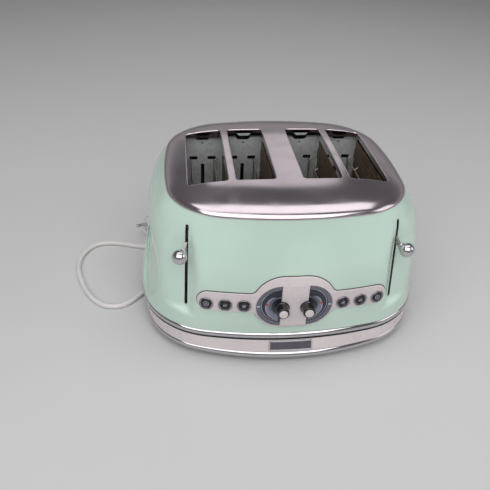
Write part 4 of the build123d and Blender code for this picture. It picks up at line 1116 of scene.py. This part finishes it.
def dial_arc(side, low, high, start, end):
    """A printed arc on a dial: its radii may change from its start to its end."""
    count = 24
    shares = [i / count for i in range(count + 1)]
    outer = [(mix(high[0], high[1], s), mix(start, end, s)) for s in shares]
    inner = [(mix(low[0], low[1], s), mix(start, end, s)) for s in reversed(shares)]
    loop = []
    for radius, angle in outer + inner:
        turn = math.radians(angle)
        loop.append((side * (KNOB_X + radius * math.cos(turn)), CONTROL_Z + radius * math.sin(turn)))
    return loop


def round_arc(side, radii, span):
    """A mark on a half dial between two radii that stay the same along a span."""
    low, high = radii
    return dial_arc(side, (low, low), (high, high), *span)


def circle_loop(x, z, radius, step=10.0):
    return arc_points(x, z, radius, 0, 360 - step, step)


def flat_plate(name, loops, low, high, rounding=0.0, segments=2):
    """A plate in X and Z between two distances off the body; loops after the first are holes."""
    data = bpy.data.curves.new(name, "CURVE")
    data.dimensions = "2D"
    data.fill_mode = "BOTH"
    data.extrude = ((high - low) / 2 - rounding) * 0.001
    data.bevel_depth = rounding * 0.001
    data.offset = -rounding * 0.001
    data.bevel_resolution = segments
    for loop in loops:
        line = data.splines.new("POLY")
        line.points.add(len(loop) - 1)
        for point, (x, z) in zip(line.points, loop):
            point.co = (x * 0.001, z * 0.001, 0, 1)
        line.use_cyclic_u = True
    plate = bpy.data.objects.new(name, data)
    bpy.context.scene.collection.objects.link(plate)
    alone(plate)
    bpy.ops.object.convert(target="MESH")
    upright = Matrix.Rotation(math.radians(90), 4, "X")
    middle = (low + high) / 2 * 0.001
    plate.data.transform(Matrix.Translation((0, -middle, 0)) @ upright)
    return recalculate(plate)


def diced(plate, step, extra_z=()):
    """Divide a plate by upright and level planes, so that it can bend."""
    corners = [v.co * 1000 for v in plate.data.vertices]
    spans = []
    for axis in (0, 2):
        low = min(c[axis] for c in corners)
        high = max(c[axis] for c in corners)
        count = max(1, round((high - low) / step))
        spans.append([mix(low, high, i / count) for i in range(1, count)])
    edit(plate)
    for place in spans[0]:
        bpy.ops.mesh.select_all(action="SELECT")
        bpy.ops.mesh.bisect(plane_co=(place * 0.001, 0, 0), plane_no=(1, 0, 0))
    for place in spans[1] + list(extra_z):
        bpy.ops.mesh.select_all(action="SELECT")
        bpy.ops.mesh.bisect(plane_co=(0, 0, place * 0.001), plane_no=(0, 0, 1))
    done()
    return plate


def fascia_ramp(x, z):
    """How much of the racetrack's rise is reached at a place, from its rim to its dials."""
    bend_x = RACETRACK_HALF_LENGTH - RACETRACK_R
    from_rim = RACETRACK_R - math.hypot(max(0.0, abs(x) - bend_x), z - FASCIA_Z)
    from_dials = math.hypot(max(0.0, abs(x) - KNOB_X), z - CONTROL_Z) - DIAL_R
    if from_rim <= 0:
        return 0.0
    if from_dials <= 0:
        return 1.0
    return from_rim / (from_rim + from_dials)


def make_fascia():
    """The cream fascia: wings at one level and a racetrack that rises to its dials."""
    holes = [half_dial_loop(side, DIAL_R) for _, side in SIDES]
    spots = [(side * offset, CONTROL_Z) for _, side in SIDES for offset in BUTTON_OFFSETS]
    holes += [circle_loop(x, z, BUTTON_HOLE_R) for x, z in spots]
    fascia = flat_plate("cream_fascia", [fascia_loop()] + holes, FASCIA_SEAT, WING_PROUD, FASCIA_ROUNDING, 3)
    crease = CONTROL_Z + DIAL_R
    diced(fascia, 3.2, (crease,))
    rise = RACETRACK_PROUD - WING_PROUD
    for vertex in fascia.data.vertices:
        x, y, z = vertex.co * 1000
        depth = (-y - FASCIA_SEAT) / (WING_PROUD - FASCIA_SEAT)
        vertex.co.y -= fascia_ramp(x, z) * rise * depth * 0.001
    edit(fascia, "EDGE", lambda at, way: abs(at.z - crease) < 0.02 and abs(at.x) < PANEL_HALF_WIDTH)
    bpy.ops.mesh.mark_sharp()
    done()
    bend_to_front(fascia)
    finish_shape(fascia, 30.0)
    stand_for(fascia, "cream", ROOT, "control_fascia")
    gasket = flat_plate("fascia_gasket", [fascia_loop(GASKET_EDGE), *holes], 0.1, GASKET_PROUD)
    bend_to_front(diced(gasket, 5.0))
    add_detail(finish_shape(gasket), "rubber")


def printed(name, loops, level, colour, slot):
    """Ink on a dial, as thin plates that follow the body's curve."""
    marks = [flat_plate(name, [loop], level, level + PRINT_PROUD) for loop in loops]
    mark = bend_to_front(diced(join(name, marks), 3.0))
    add_detail(finish_shape(mark), slot, material=INKS[colour])


def make_dials():
    """Each half dial: its dark plate, its grey ring with a chrome edging, its hub and its printed scale."""
    for name, side in SIDES:
        shaft = circle_loop(side * KNOB_X, CONTROL_Z, SHAFT_HOLE_R)
        outline = half_dial_loop(side, DIAL_R - DIAL_GAP)
        full = [p for p in shaft if side * p[0] > PANEL_HALF_WIDTH + SHAFT_EDGE_GAP]
        edge_up = (side * PANEL_HALF_WIDTH, CONTROL_Z + SHAFT_HOLE_R)
        edge_down = (side * PANEL_HALF_WIDTH, CONTROL_Z - SHAFT_HOLE_R)
        rim = sorted(full, key=lambda p: -p[1])
        loop = outline + [edge_up] + rim + [edge_down]
        plate = flat_plate(f"{name}_scale_plate", [loop], FASCIA_SEAT, DIAL_PLATE)
        bend_to_front(diced(plate, 4.0))
        stand_for(finish_shape(plate), "dial", ROOT, f"{name}_dial_face")
        loop = half_dial_loop(side, DIAL_R - DIAL_GAP, DIAL_RING_R)
        ring_plate = flat_plate(f"{name}_scale_ring", [loop], DIAL_PLATE, DIAL_RING_PROUD, RING_ROUNDING, 2)
        hub_loop = half_dial_loop(side, *HUB_RADII)
        hub = flat_plate(f"{name}_hub", [hub_loop], DIAL_PLATE, DIAL_PLATE + HUB_RISE, HUB_ROUNDING, 2)
        whole = join(f"{name}_scale_ring", [ring_plate, hub])
        bend_to_front(diced(whole, 3.0))
        stand_for(finish_shape(whole), "dial_grey", ROOT, f"{name}_dial_ring")
        edge = half_dial_loop(side, DIAL_R - DIAL_GAP + EDGING_GROW, DIAL_R - DIAL_EDGE)
        low = DIAL_RING_PROUD - EDGING_SUNK
        high = DIAL_RING_PROUD + EDGING_PROUD
        edging = flat_plate(f"{name}_dial_edging", [edge], low, high, EDGING_ROUNDING, 3)
        bend_to_front(diced(edging, 3.0))
        # The edging's chrome is darkened in colour: a painted shadow line along the dial's edge
        add_detail(finish_shape(edging), "chrome", material=PAINTED_DARK_CHROME)
        level = DIAL_PLATE + PRINT_LIFT
        crescent = dial_arc(side, (CRESCENT_R, CRESCENT_R), CRESCENT_TOP_R, *CRESCENT_SPAN)
        printed(f"{name}_crescent_print", [crescent], level, "lilac", "dial_grey")
        lines = [round_arc(side, SCALE_LINE_R, SCALE_LINE_SPAN), round_arc(side, HUB_LINE_R, HUB_LINE_SPAN)]
        edge = [radius + EDGE_LINE_WIDTH for radius in CRESCENT_TOP_R]
        lines.append(dial_arc(side, CRESCENT_TOP_R, edge, *CRESCENT_SPAN))
        printed(f"{name}_line_print", lines, level, "white", "dial_grey")
        tick = round_arc(side, TICK_RADII, TICK_SPAN)
        printed(f"{name}_tick_print", [tick], DIAL_RING_PROUD - PRINT_LIFT, "white", "cream")
        red = round_arc(side, RED_RADII, RED_SPAN)
        printed(f"{name}_red_print", [red], level + PRINT_PROUD, "red", "dial")


# The browning knobs, the buttons and the lever knobs, all turned
KNOB_CLEARANCE = 0.8
KNOB_R = 8.5
KNOB_TIP_R = 6.4
KNOB_LENGTH = 11.6
KNOB_FOOT_ROUND = 0.4
KNOB_TIP_ROUND = 0.9
CAP_SUNK = 0.6
CAP_ROUND = 0.7
CAP_R = 4.8
CAP_LENGTH = 1.4
FASCIA_CAD_PROUD = 4.0


def rounded(profile, corner, radius, start, end, steps=4):
    """Add a rounded corner to a profile of radius and distance pairs."""
    for i in range(steps + 1):
        angle = math.radians(mix(start, end, i / steps))
        profile.append((corner[0] + radius * math.cos(angle), corner[1] + radius * math.sin(angle)))


def make_browning_knobs():
    for name, side in SIDES:
        y = body_y(KNOB_X, CONTROL_Z) - FASCIA_CAD_PROUD - KNOB_CLEARANCE
        spot = (side * KNOB_X, y, CONTROL_Z)
        profile = [(0, -3.0), (3.0, -3.0), (3.0, 0.0), (KNOB_R - KNOB_FOOT_ROUND, 0.0)]
        rounded(profile, (KNOB_R - KNOB_FOOT_ROUND, KNOB_FOOT_ROUND), KNOB_FOOT_ROUND, -90, 0)
        rounded(profile, (KNOB_R - 0.5, 1.7), 0.5, 0, 60)
        profile += [(KNOB_R - 0.9, 2.6), (KNOB_TIP_R + 0.55, KNOB_LENGTH - 1.6)]
        rounded(profile, (KNOB_TIP_R - 0.4, KNOB_LENGTH - KNOB_TIP_ROUND), KNOB_TIP_ROUND, 10, 90, 6)
        floor = KNOB_LENGTH - CAP_SUNK
        profile += [(CAP_R + 0.2, KNOB_LENGTH), (CAP_R + 0.2, floor), (0, floor)]
        knob = lathe(f"{name}_dial_knob", profile, spot, (0, -1, 0), 64)
        stand_for(finish_shape(knob), "black_plastic", f"{name}_browning", f"{name}_browning_knob")
        profile = [(0, KNOB_LENGTH - 0.5), (CAP_R, KNOB_LENGTH - 0.5)]
        front = KNOB_LENGTH + CAP_LENGTH
        rounded(profile, (CAP_R - CAP_ROUND, front - CAP_ROUND), CAP_ROUND, 0, 75, 5)
        profile += [(CAP_R - 2.2, front - 0.03), (0, front)]
        cap = lathe(f"{name}_cream_cap", profile, spot, (0, -1, 0), 48)
        stand_for(finish_shape(cap), "cream", f"{name}_browning", f"{name}_knob_cap")


BUTTON_R = 5.6
BUTTON_FRONT = 3.6
BEZEL_R = 8.0
BEZEL_FRONT = 3.6
BEZEL_BACK = 1.8
BEZEL_INNER_R = 5.85
BEZEL_GAP = 0.3
BEZEL_ROUND = 0.9
BUTTON_ROUND = 0.7
DISC_R = 4.1
DISC_SUNK = 0.2
ICON_SUNK = 0.15
ICON_PROUD = 0.12
ICON_RING_RADII = (2.7, 3.15)
ICON_LINE = 0.5


def button_place(side, offset):
    """A button's spot on the body's front and its way out."""
    level = body_outline(CONTROL_Z)
    centre, _ = front_arc(level, offset)
    spot = Vector((offset, front_y(level, offset)))
    out = (spot - centre).normalized()
    return Vector((side * spot.x, spot.y, CONTROL_Z)), Vector((side * out.x, out.y, 0))


def icon_bars(kind):
    """The strokes of a plain pictogram: middle, length and angle of each."""
    if kind == "defrost":
        return [(0.0, 0.0, 5.0, angle) for angle in (90, 30, -30)]
    if kind == "reheat":
        return [(x, 0.0, 3.6, 78) for x in (-1.4, 0.0, 1.4)]
    return [(0.0, 0.0, 3.4, 45), (0.0, 0.0, 3.4, -45)]


def make_icon(name, kind, spot, out, level):
    """A pictogram of thin raised strokes on a button's disc."""
    across = Vector((-out.y, out.x, 0))
    strokes = []
    for x, z, length, angle in icon_bars(kind):
        way = across * math.cos(math.radians(angle)) + Vector((0, 0, math.sin(math.radians(angle))))
        wide = way.cross(out)
        middle = spot + across * x + Vector((0, 0, z)) + out * level
        corners = []
        for depth in (-ICON_SUNK, ICON_PROUD):
            for a, b in ((-1, -1), (1, -1), (1, 1), (-1, 1)):
                corners.append(middle + way * a * length / 2 + wide * b * ICON_LINE / 2 + out * depth)
        strokes.append(recalculate(mesh_piece("stroke", corners, BOX_FACES)))
    if kind == "cancel":
        low = level - ICON_SUNK
        high = level + ICON_PROUD
        inner, outer = ICON_RING_RADII
        profile = [(inner, low), (outer, low), (outer, high), (inner, high), (inner, low)]
        strokes.append(lathe("stroke", profile, spot, out, 32))
    return finish_shape(join(name, strokes))


def make_buttons():
    """Six buttons with their chrome bezels."""
    bezels = []
    for name, side in SIDES:
        for kind, offset in zip(BUTTON_KINDS, BUTTON_OFFSETS):
            spot, out = button_place(side, offset)
            body = f"{name}_{kind}"
            front = BUTTON_FRONT
            profile = [(0, -8), (4.0, -8), (4.0, -2), (BUTTON_R, -2)]
            rounded(profile, (BUTTON_R - BUTTON_ROUND, front - BUTTON_ROUND), BUTTON_ROUND, 0, 90, 5)
            profile += [(DISC_R + 0.5, front), (DISC_R + 0.2, front - 0.5)]
            profile += [(DISC_R, front - 0.9), (0, front - 0.9)]
            button = lathe(f"{body}_press", profile, spot, out, 48)
            stand_for(finish_shape(button), "black_plastic", body, f"{body}_button")
            profile = [(0, front - 1.0), (DISC_R - 0.1, front - 1.0), (DISC_R - 0.1, front - 0.55)]
            profile += [(DISC_R - 0.5, front - 0.35), (0, front - DISC_SUNK)]
            disc = lathe(f"{body}_disc", profile, spot, out, 40)
            add_detail(finish_shape(disc), "dial", body, SMOKED)
            icon = make_icon(f"{body}_icon", kind, spot, out, front - DISC_SUNK)
            add_detail(icon, "dial_grey", body, INKS["grey"])
            back = BEZEL_GAP
            neck, brim = BUTTON_HOLE_R - BEZEL_GAP, BEZEL_R - BEZEL_GAP
            profile = [(BEZEL_INNER_R, back), (neck, back), (neck, BEZEL_BACK), (brim, BEZEL_BACK)]
            rounded(profile, (BEZEL_R - BEZEL_ROUND, WING_PROUD + 0.75), BEZEL_ROUND, -20, 90, 7)
            rounded(profile, (BEZEL_INNER_R + 0.3, BEZEL_FRONT - 0.95), 0.3, 90, 180, 4)
            profile.append((BEZEL_INNER_R, back))
            bezels.append(lathe("bezel", profile, spot, out, 56))
    rings = join("bezels_painted_dark", bezels)
    stand_for(finish_shape(rings), "chrome", ROOT, "button_bezels")
    # The bezels' chrome is darkened in colour: a painted dark reflection
    rings.data.materials[0] = PAINTED_DARK_CHROME


KNOB_REACH = 20.9
KNOB_STEM = 11.6
KNOB_Z = 139.3
BALL_R = 8.3
BALL_STEPS = 22
FLANGE_R = 5.0
FLANGE_ROUND = 0.55
FLANGE_STEPS = 6
FLANGE_POWER = 1.7
NECK_R = 3.0
NECK_LENGTH = 0.6


def make_lever_knobs():
    """Each chrome lever knob: a ball on a small flared collar and a short neck."""
    rim = KNOB_STEM - BALL_R
    profile = [(0, 0), (NECK_R, 0), (NECK_R, NECK_LENGTH)]
    spread = FLANGE_R - NECK_R - 0.5
    rise = rim - 2 * NECK_LENGTH
    for step in range(1, FLANGE_STEPS + 1):
        share = step / FLANGE_STEPS
        profile.append((NECK_R + spread * share**FLANGE_POWER, NECK_LENGTH + rise * share))
    rounded(profile, (FLANGE_R - FLANGE_ROUND, rim + 0.1), FLANGE_ROUND, -60, 75, 6)
    waist = math.degrees(math.asin((rim + 1.3 - KNOB_STEM) / BALL_R))
    rounded(profile, (0, KNOB_STEM), BALL_R, waist, 90, BALL_STEPS)
    for name, side in SIDES:
        out = Vector((side * LEVER_OUT.x, LEVER_OUT.y, 0))
        top = Vector((side * VALLEY_TOP.x, VALLEY_TOP.y, KNOB_Z))
        knob = lathe(f"{name}_chrome_ball", profile, top + out * (KNOB_REACH - KNOB_STEM), out, 64)
        stand_for(finish_shape(knob), "chrome", f"{name}_lift", f"{name}_lever_knob")


# The bare plate on the band
PLATE_WIDTH = 51.0
PLATE_HEIGHT = 12.0
PLATE_FRAME = 1.5
PLATE_CORNER = 1.6
PLATE_INNER_CORNER = 0.8
PLATE_PROUD = 1.35
PLATE_ROUNDING = 0.3
FIELD_PROUD = 0.75
FIELD_OVERLAP = 0.2


def plate_loop(inset, corner):
    """The plate's rounded outline, on the middle of the band."""
    half_w = PLATE_WIDTH / 2 - inset - corner
    half_h = PLATE_HEIGHT / 2 - inset - corner
    middle = (BAND_Z + TRIM_Z) / 2
    loop = []
    for quadrant, (sx, sz) in enumerate(((1, 1), (-1, 1), (-1, -1), (1, -1))):
        loop += arc_points(sx * half_w, middle + sz * half_h, corner, 90 * quadrant, 90 * quadrant + 90, 18.0)
    return loop


def bend_to_band(plate):
    """Lay a flat piece on the front of the base band."""
    for vertex in plate.data.vertices:
        x, _, z = vertex.co * 1000
        vertex.co.y += front_y(band_outline(z), x) * 0.001
    plate.data.update()
    return plate


def make_name_plate():
    """A bare chrome frame round a dark field."""
    loops = [plate_loop(0.0, PLATE_CORNER), plate_loop(PLATE_FRAME, PLATE_INNER_CORNER)]
    rim = flat_plate("plate_frame", loops, FASCIA_SEAT, PLATE_PROUD, PLATE_ROUNDING, 2)
    bend_to_band(diced(rim, 4.0))
    stand_for(finish_shape(rim), "chrome", ROOT, "name_plate")
    loop = plate_loop(PLATE_FRAME - FIELD_OVERLAP, PLATE_INNER_CORNER)
    field = flat_plate("plate_field", [loop], FASCIA_SEAT, FIELD_PROUD)
    bend_to_band(diced(field, 4.0))
    add_detail(finish_shape(field), "dial", material=SATIN)


def make_heater_ribbons():
    """Flat heating ribbon wound round each mica board, one turn every few millimetres."""
    pitch = RIBBON_PITCH
    reach = RIBBON_REACH
    for name, side in SIDES:
        strips = []
        for x in HEATER_XS:
            points = []
            z = HEATER_TOP_Z - RIBBON_DROPS[0]
            while z > HEATER_TOP_Z - RIBBON_DROPS[1]:
                for hand, drop in ((1, 0.0), (-1, pitch / 2)):
                    ends = (-reach, reach) if hand > 0 else (reach, -reach)
                    points += [(side * x + hand * RIBBON_OFF_BOARD, y, z - drop) for y in ends]
                z -= pitch
            edges = [Vector(p) + Vector((0, 0, hand * RIBBON_WIDTH / 2)) for p in points for hand in (-1, 1)]
            faces = [(2 * i, 2 * i + 1, 2 * i + 3, 2 * i + 2) for i in range(len(points) - 1)]
            strip = mesh_piece("ribbon", edges, faces)
            strips.append(modifier(strip, "SOLIDIFY", thickness=0.0002, offset=0.0))
        ribbons = join(f"{name}_heater_ribbons", strips)
        add_detail(finish_shape(recalculate(ribbons, 0.000001)), "steel", material=NICHROME)


HEATER_TOP_Z = 181.0
RIBBON_WIDTH = 1.4
RIBBON_PITCH = 7.0
RIBBON_OFF_BOARD = 0.85
RIBBON_DROPS = (8.0, 70.0)
RIBBON_REACH = 71.6
HEATER_XS = (
    CENTRE_BRIDGE / 2 - 2.6,
    CENTRE_BRIDGE / 2 + SLOT_WIDTH + PAIR_BRIDGE / 2,
    CENTRE_BRIDGE / 2 + 2 * SLOT_WIDTH + PAIR_BRIDGE + 2.6,
)

make_fascia()
make_dials()
make_browning_knobs()
make_buttons()
make_lever_knobs()
make_name_plate()
make_heater_ribbons()

# The mains cord, in millimetres: its chosen route, its coil and its plug's place
CORD_R = 3.3
CORD_Z = 3.4
GLAND_Z = 7.4
LEAD_ROUTE = [
    (-118.0, 58.5, GLAND_Z),
    (-129.5, 42.5, 7.0),
    (-146.5, 20.5, CORD_Z),
    (-162.0, -0.5, CORD_Z),
    (-177.5, -16.5, CORD_Z),
    (-192.8, -35.6, CORD_Z),
    (-204.8, -41.6, CORD_Z),
    (-218.1, -42.0, CORD_Z),
    (-230.4, -36.0, CORD_Z),
    (-248.4, -14.5, CORD_Z),
    (-267.2, 34.5, CORD_Z),
    (-269.3, 74.1, CORD_Z),
    (-252.1, 106.4, CORD_Z),
    (-223.5, 110.4, CORD_Z),
    (-176.5, 93.3, CORD_Z),
    (-150.8, 96.9, CORD_Z),
    (-133.0, 113.0, CORD_Z),
    (-98.0, 137.0, CORD_Z),
    (-62.0, 160.0, CORD_Z),
    (-35.0, 185.0, CORD_Z),
    (-28.8, 218.0, CORD_Z),
    (-28.8, 232.0, CORD_Z),
]
COIL_R = 39.6
COIL_STEP = 7.2
COIL_POINTS = 7
TAIL_RUN = 22.0
PLUG_R = 18.2
PLUG_FACE = (-169.0, 126.0)
PLUG_HEADING = math.radians(228.0)
PLUG_TILT = math.radians(16.0)
PLUG_LENGTH = 44.0
PLUG_RIM_START = 33.0


def coil_points():
    """The coil's half turns: in on the floor, up one layer, and out again."""
    spot = Vector(LEAD_ROUTE[-1])
    points = []
    upward = 1
    for shrink, climb in ((0, 0), (-0.5, 0), (-1, 1), (-0.5, 0), (0, 0)):
        radius = COIL_R + shrink * COIL_STEP
        centre = spot - Vector((radius * upward, 0, 0))
        for i in range(1, COIL_POINTS + 1):
            angle = math.pi * (i - 0.5) / COIL_POINTS
            rise = climb * COIL_STEP * (i - 0.5) / COIL_POINTS
            turn = Vector((upward * math.cos(angle), upward * math.sin(angle), 0))
            points.append(centre + turn * radius * 1.012 + Vector((0, 0, rise)))
        spot = centre - Vector((radius * upward, 0, 0)) + Vector((0, 0, climb * COIL_STEP))
        upward = -upward
    return points, spot


PLUG_AXIS = Vector(
    (
        math.cos(PLUG_HEADING) * math.cos(PLUG_TILT),
        math.sin(PLUG_HEADING) * math.cos(PLUG_TILT),
        math.sin(PLUG_TILT),
    )
)
PLUG_LIFT = PLUG_R * math.cos(PLUG_TILT) + (PLUG_LENGTH - PLUG_RIM_START) * math.sin(PLUG_TILT) + 0.1
PLUG_BACK = Vector((*PLUG_FACE, PLUG_LIFT)) - PLUG_AXIS * PLUG_LENGTH


def make_cord():
    """The lead from its gland to its plug, as one smooth line."""
    turns, last = coil_points()
    before = PLUG_BACK - PLUG_AXIS * TAIL_RUN
    tail = [last, last - Vector((0, TAIL_RUN, 0)), Vector((before.x, before.y, CORD_Z)), PLUG_BACK]
    route = [Vector(p) for p in LEAD_ROUTE] + turns + tail
    data = bpy.data.curves.new("mains_lead", "CURVE")
    data.dimensions = "3D"
    data.bevel_depth = CORD_R * 0.001
    data.bevel_resolution = 5
    data.resolution_u = 6
    data.use_fill_caps = True
    line = data.splines.new("NURBS")
    line.points.add(len(route) - 1)
    for control, place in zip(line.points, route):
        control.co = (*(place * 0.001), 1.0)
    line.order_u = 3
    line.use_endpoint_u = True
    lead = bpy.data.objects.new("mains_lead", data)
    bpy.context.scene.collection.objects.link(lead)
    lead.data.materials.append(MATERIALS["cord"])
    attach(lead, ROOT)
    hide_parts("cord_lead", "cord_coil", "cord_tail")
    return lead


PIN_R = 2.4
PIN_SPACING = 19.0
PIN_TIP = 20.2
PLUG_FACE_DROP = 1.2
TAIL_RIBS = 4
RIB_PITCH = 3.2
RIB_DEPTH = 0.7
RIB_START = 1.6
RIB_R = 5.4
RIB_TAPER = 0.0875
TAIL_FOOT_R = 4.9
FLARE_START = 14.5
FLARE_STEP = 1.5
FLARE_STEPS = 12
SEAM_FROM_FACE = 6.5
SEAM_DEPTH = 0.8
PIN_ROUND = 1.2


def make_plug():
    """The round two-pin plug: a ribbed tail, a flared grip with a seam, and a sunk face with two pins."""
    profile = [(0, 1.5), (CORD_R + 0.3, 1.5), (CORD_R + 0.3, 0.3)]
    rounded(profile, (TAIL_FOOT_R, 0.5), 0.5, 270, 360)
    for i in range(TAIL_RIBS):
        start = RIB_START + RIB_PITCH * i
        wide = RIB_R + start * RIB_TAPER
        profile += [(wide, start), (wide - RIB_DEPTH, start + 0.4)]
        profile += [(wide - RIB_DEPTH, start + 1.2), (wide, start + 1.6)]
    flare = natural_spline((FLARE_START, 18.0, 22.0, 27.0, PLUG_RIM_START), (6.7, 7.2, 9.0, 13.6, PLUG_R))
    places = [FLARE_START + FLARE_STEP * i for i in range(FLARE_STEPS)] + [32.0]
    profile += [(min(flare(place), PLUG_R), place) for place in places]
    seam = PLUG_LENGTH - SEAM_FROM_FACE
    groove = PLUG_R - SEAM_DEPTH
    profile += [(PLUG_R, PLUG_RIM_START), (PLUG_R, seam)]
    profile += [(groove, seam + 0.25), (groove, seam + 0.75), (PLUG_R, seam + 1.0)]
    rounded(profile, (PLUG_R - 1.0, PLUG_LENGTH - 1.0), 1.0, 0, 90, 5)
    face = PLUG_LENGTH - PLUG_FACE_DROP
    profile += [(PLUG_R - 2.2, PLUG_LENGTH), (PLUG_R - 2.5, face + 0.2), (PLUG_R - 2.8, face), (0, face)]
    moulding = lathe("white_plug", profile, PLUG_BACK, PLUG_AXIS, 72)
    stand_for(finish_shape(moulding, 40.0), "plug", ROOT, "power_plug")
    across = Vector((-PLUG_AXIS.y, PLUG_AXIS.x, 0)).normalized()
    pins = []
    for _, side in SIDES:
        profile = [(0, -1.0), (PIN_R, -1.0), (PIN_R, PIN_TIP - PIN_ROUND)]
        rounded(profile, (PIN_R - PIN_ROUND, PIN_TIP - PIN_ROUND), PIN_ROUND, 0, 90, 5)
        profile.append((0, PIN_TIP))
        spot = PLUG_BACK + PLUG_AXIS * face + across * side * PIN_SPACING / 2
        pins.append(lathe("pin", profile, spot, PLUG_AXIS, 32))
    contacts = join("plug_pins", pins)
    add_detail(finish_shape(contacts), "chrome")
    return [moulding, contacts]


plug = make_plug()
lead = make_cord()

SPRING_TURNS = 6
SPRING_STEPS = 24
SPRING_SIDES = 8
SPRING_WIRE_R = 0.55


def make_return_springs():
    """The coil springs between their hangers and the carriages."""
    for name, _ in SIDES:
        low, high = (Vector(corner) * 1000 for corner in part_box(f"{name}_return_spring"))
        centre = (low + high) / 2
        reach = (high.x - low.x) / 2 - SPRING_WIRE_R
        count = SPRING_TURNS * SPRING_STEPS
        rings = []
        for step in range(count + 1):
            turn = math.radians(360 / SPRING_STEPS * step)
            out = Vector((math.cos(turn), math.sin(turn), 0))
            z = mix(high.z - SPRING_WIRE_R, low.z + SPRING_WIRE_R, step / count)
            spot = Vector((centre.x, centre.y, z)) + out * reach
            loop = []
            for i in range(SPRING_SIDES):
                angle = math.radians(360 / SPRING_SIDES * i)
                loop.append(spot + (out * math.cos(angle) + Vector((0, 0, math.sin(angle)))) * SPRING_WIRE_R)
            rings.append(loop)
        spring = skin(f"{name}_coil_spring", rings, cap_first=True, cap_last=True)
        dress(finish_shape(recalculate(spring)), "steel")
        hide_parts(f"{name}_return_spring")
        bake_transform(spring)


make_return_springs()

# The strap that ties the coil's two stacked strands, which cross it along X
TIE_PLACE = (-68.4, 195.7)
TIE_HALF_WIDTH = 4.0
TIE_RADII = (3.6, 4.4)
TIE_FLOORS = (0.1, 0.02)
TIE_STEPS = 36
COIL_LAYERS = (CORD_Z + COIL_STEP, CORD_Z)


def make_tie():
    """A flat loop round the strands, pressed thin where they rest on it."""
    rings = []
    for hand, which in ((-1, 0), (1, 0), (1, 1), (-1, 1)):
        loop = []
        for i in range(TIE_STEPS):
            turn = math.radians(360 / TIE_STEPS * i)
            z = COIL_LAYERS[0 if 2 * i <= TIE_STEPS else 1] + TIE_RADII[which] * math.sin(turn)
            y = TIE_PLACE[1] + TIE_RADII[which] * math.cos(turn)
            loop.append(Vector((TIE_PLACE[0] + hand * TIE_HALF_WIDTH, y, max(z, TIE_FLOORS[which]))))
        rings.append(loop)
    tie = recalculate(skin("coil_tie", rings, closed=True), 0.000001)
    add_detail(finish_shape(tie), "rubber")


make_tie()

# The camera at the photograph's place
CAMERA_PLACE = (-0.1227, -0.6582, 0.5046)
CAMERA_WAY = (0.1051, 0.827, -0.5524)
CAMERA_ROLL = math.radians(2.33)
CAMERA_LENS = 44.07
CAMERA_SENSOR = 36.0


def make_camera():
    data = bpy.data.cameras.new("camera")
    data.lens = CAMERA_LENS
    data.sensor_width = CAMERA_SENSOR
    camera = bpy.data.objects.new("camera", data)
    camera.location = CAMERA_PLACE
    aim = Vector(CAMERA_WAY).to_track_quat("-Z", "Y")
    camera.rotation_mode = "QUATERNION"
    camera.rotation_quaternion = aim @ Quaternion((0, 0, 1), CAMERA_ROLL)
    bpy.context.scene.collection.objects.link(camera)
    bpy.context.scene.camera = camera


LAMPS = (
    ("overhead softbox", (0.0, 0.1, 1.9), (0.0, 0.1, 0.15), (2.4, 0.9), 9.5),
    ("front softbox", (-0.3, -1.25, 1.5), (0.0, 0.0, 0.1), (2.8, 1.5), 28.0),
    ("back softbox", (0.2, 1.7, 1.25), (0.0, 0.0, 0.15), (0.95, 0.8), 1.5),
    ("side softbox", (1.6, -0.5, 0.9), (0.0, 0.0, 0.1), (1.0, 1.0), 4.0),
)
# The world's grey at each share of its height: a pale low band, dark above it for the cover to mirror
SKY = ((0.0, 0.2), (0.22, 0.35), (0.4, 0.12), (1.0, 0.12))


def make_lamp(name, place, aim, size, power):
    """A soft box that faces a point."""
    data = bpy.data.lights.new(name, "AREA")
    data.shape = "RECTANGLE"
    data.size, data.size_y = size
    data.energy = power
    lamp = bpy.data.objects.new(name, data)
    lamp.location = place
    lamp.rotation_euler = (Vector(aim) - Vector(place)).to_track_quat("-Z", "Y").to_euler()
    bpy.context.scene.collection.objects.link(lamp)


FLOOR_SIZE = 12.0


def make_studio():
    """A pale floor, soft lamps, and a sky that is darker overhead, so that metal shows its form."""
    alone(bpy.context.scene.objects[0])
    bpy.ops.object.select_all(action="DESELECT")
    bpy.ops.mesh.primitive_plane_add(size=FLOOR_SIZE, location=(0, 0, 0))
    floor = bpy.context.object
    floor.name = "studio_floor"
    grain = Layer("Normal", 3.0, (0.05, 0.02))
    floor.data.materials.append(surface("studio paper", [grain], Base_Color="#D4D4D4", Roughness=0.9))
    world = bpy.data.worlds.new("studio")
    world.use_nodes = True
    way = node(world, "TexCoord").outputs["Generated"]
    height = node(world, "SeparateXYZ", [("Vector", way)]).outputs["Z"]
    sky = node(world, "ValToRGB", [("Fac", height)])
    set_stops(sky, SKY)
    world.node_tree.links.new(sky.outputs["Color"], world.node_tree.nodes["Background"].inputs["Color"])
    bpy.context.scene.world = world
    for lamp in LAMPS:
        make_lamp(*lamp)


make_camera()
make_studio()
bpy.context.scene.view_settings.view_transform = "Standard"
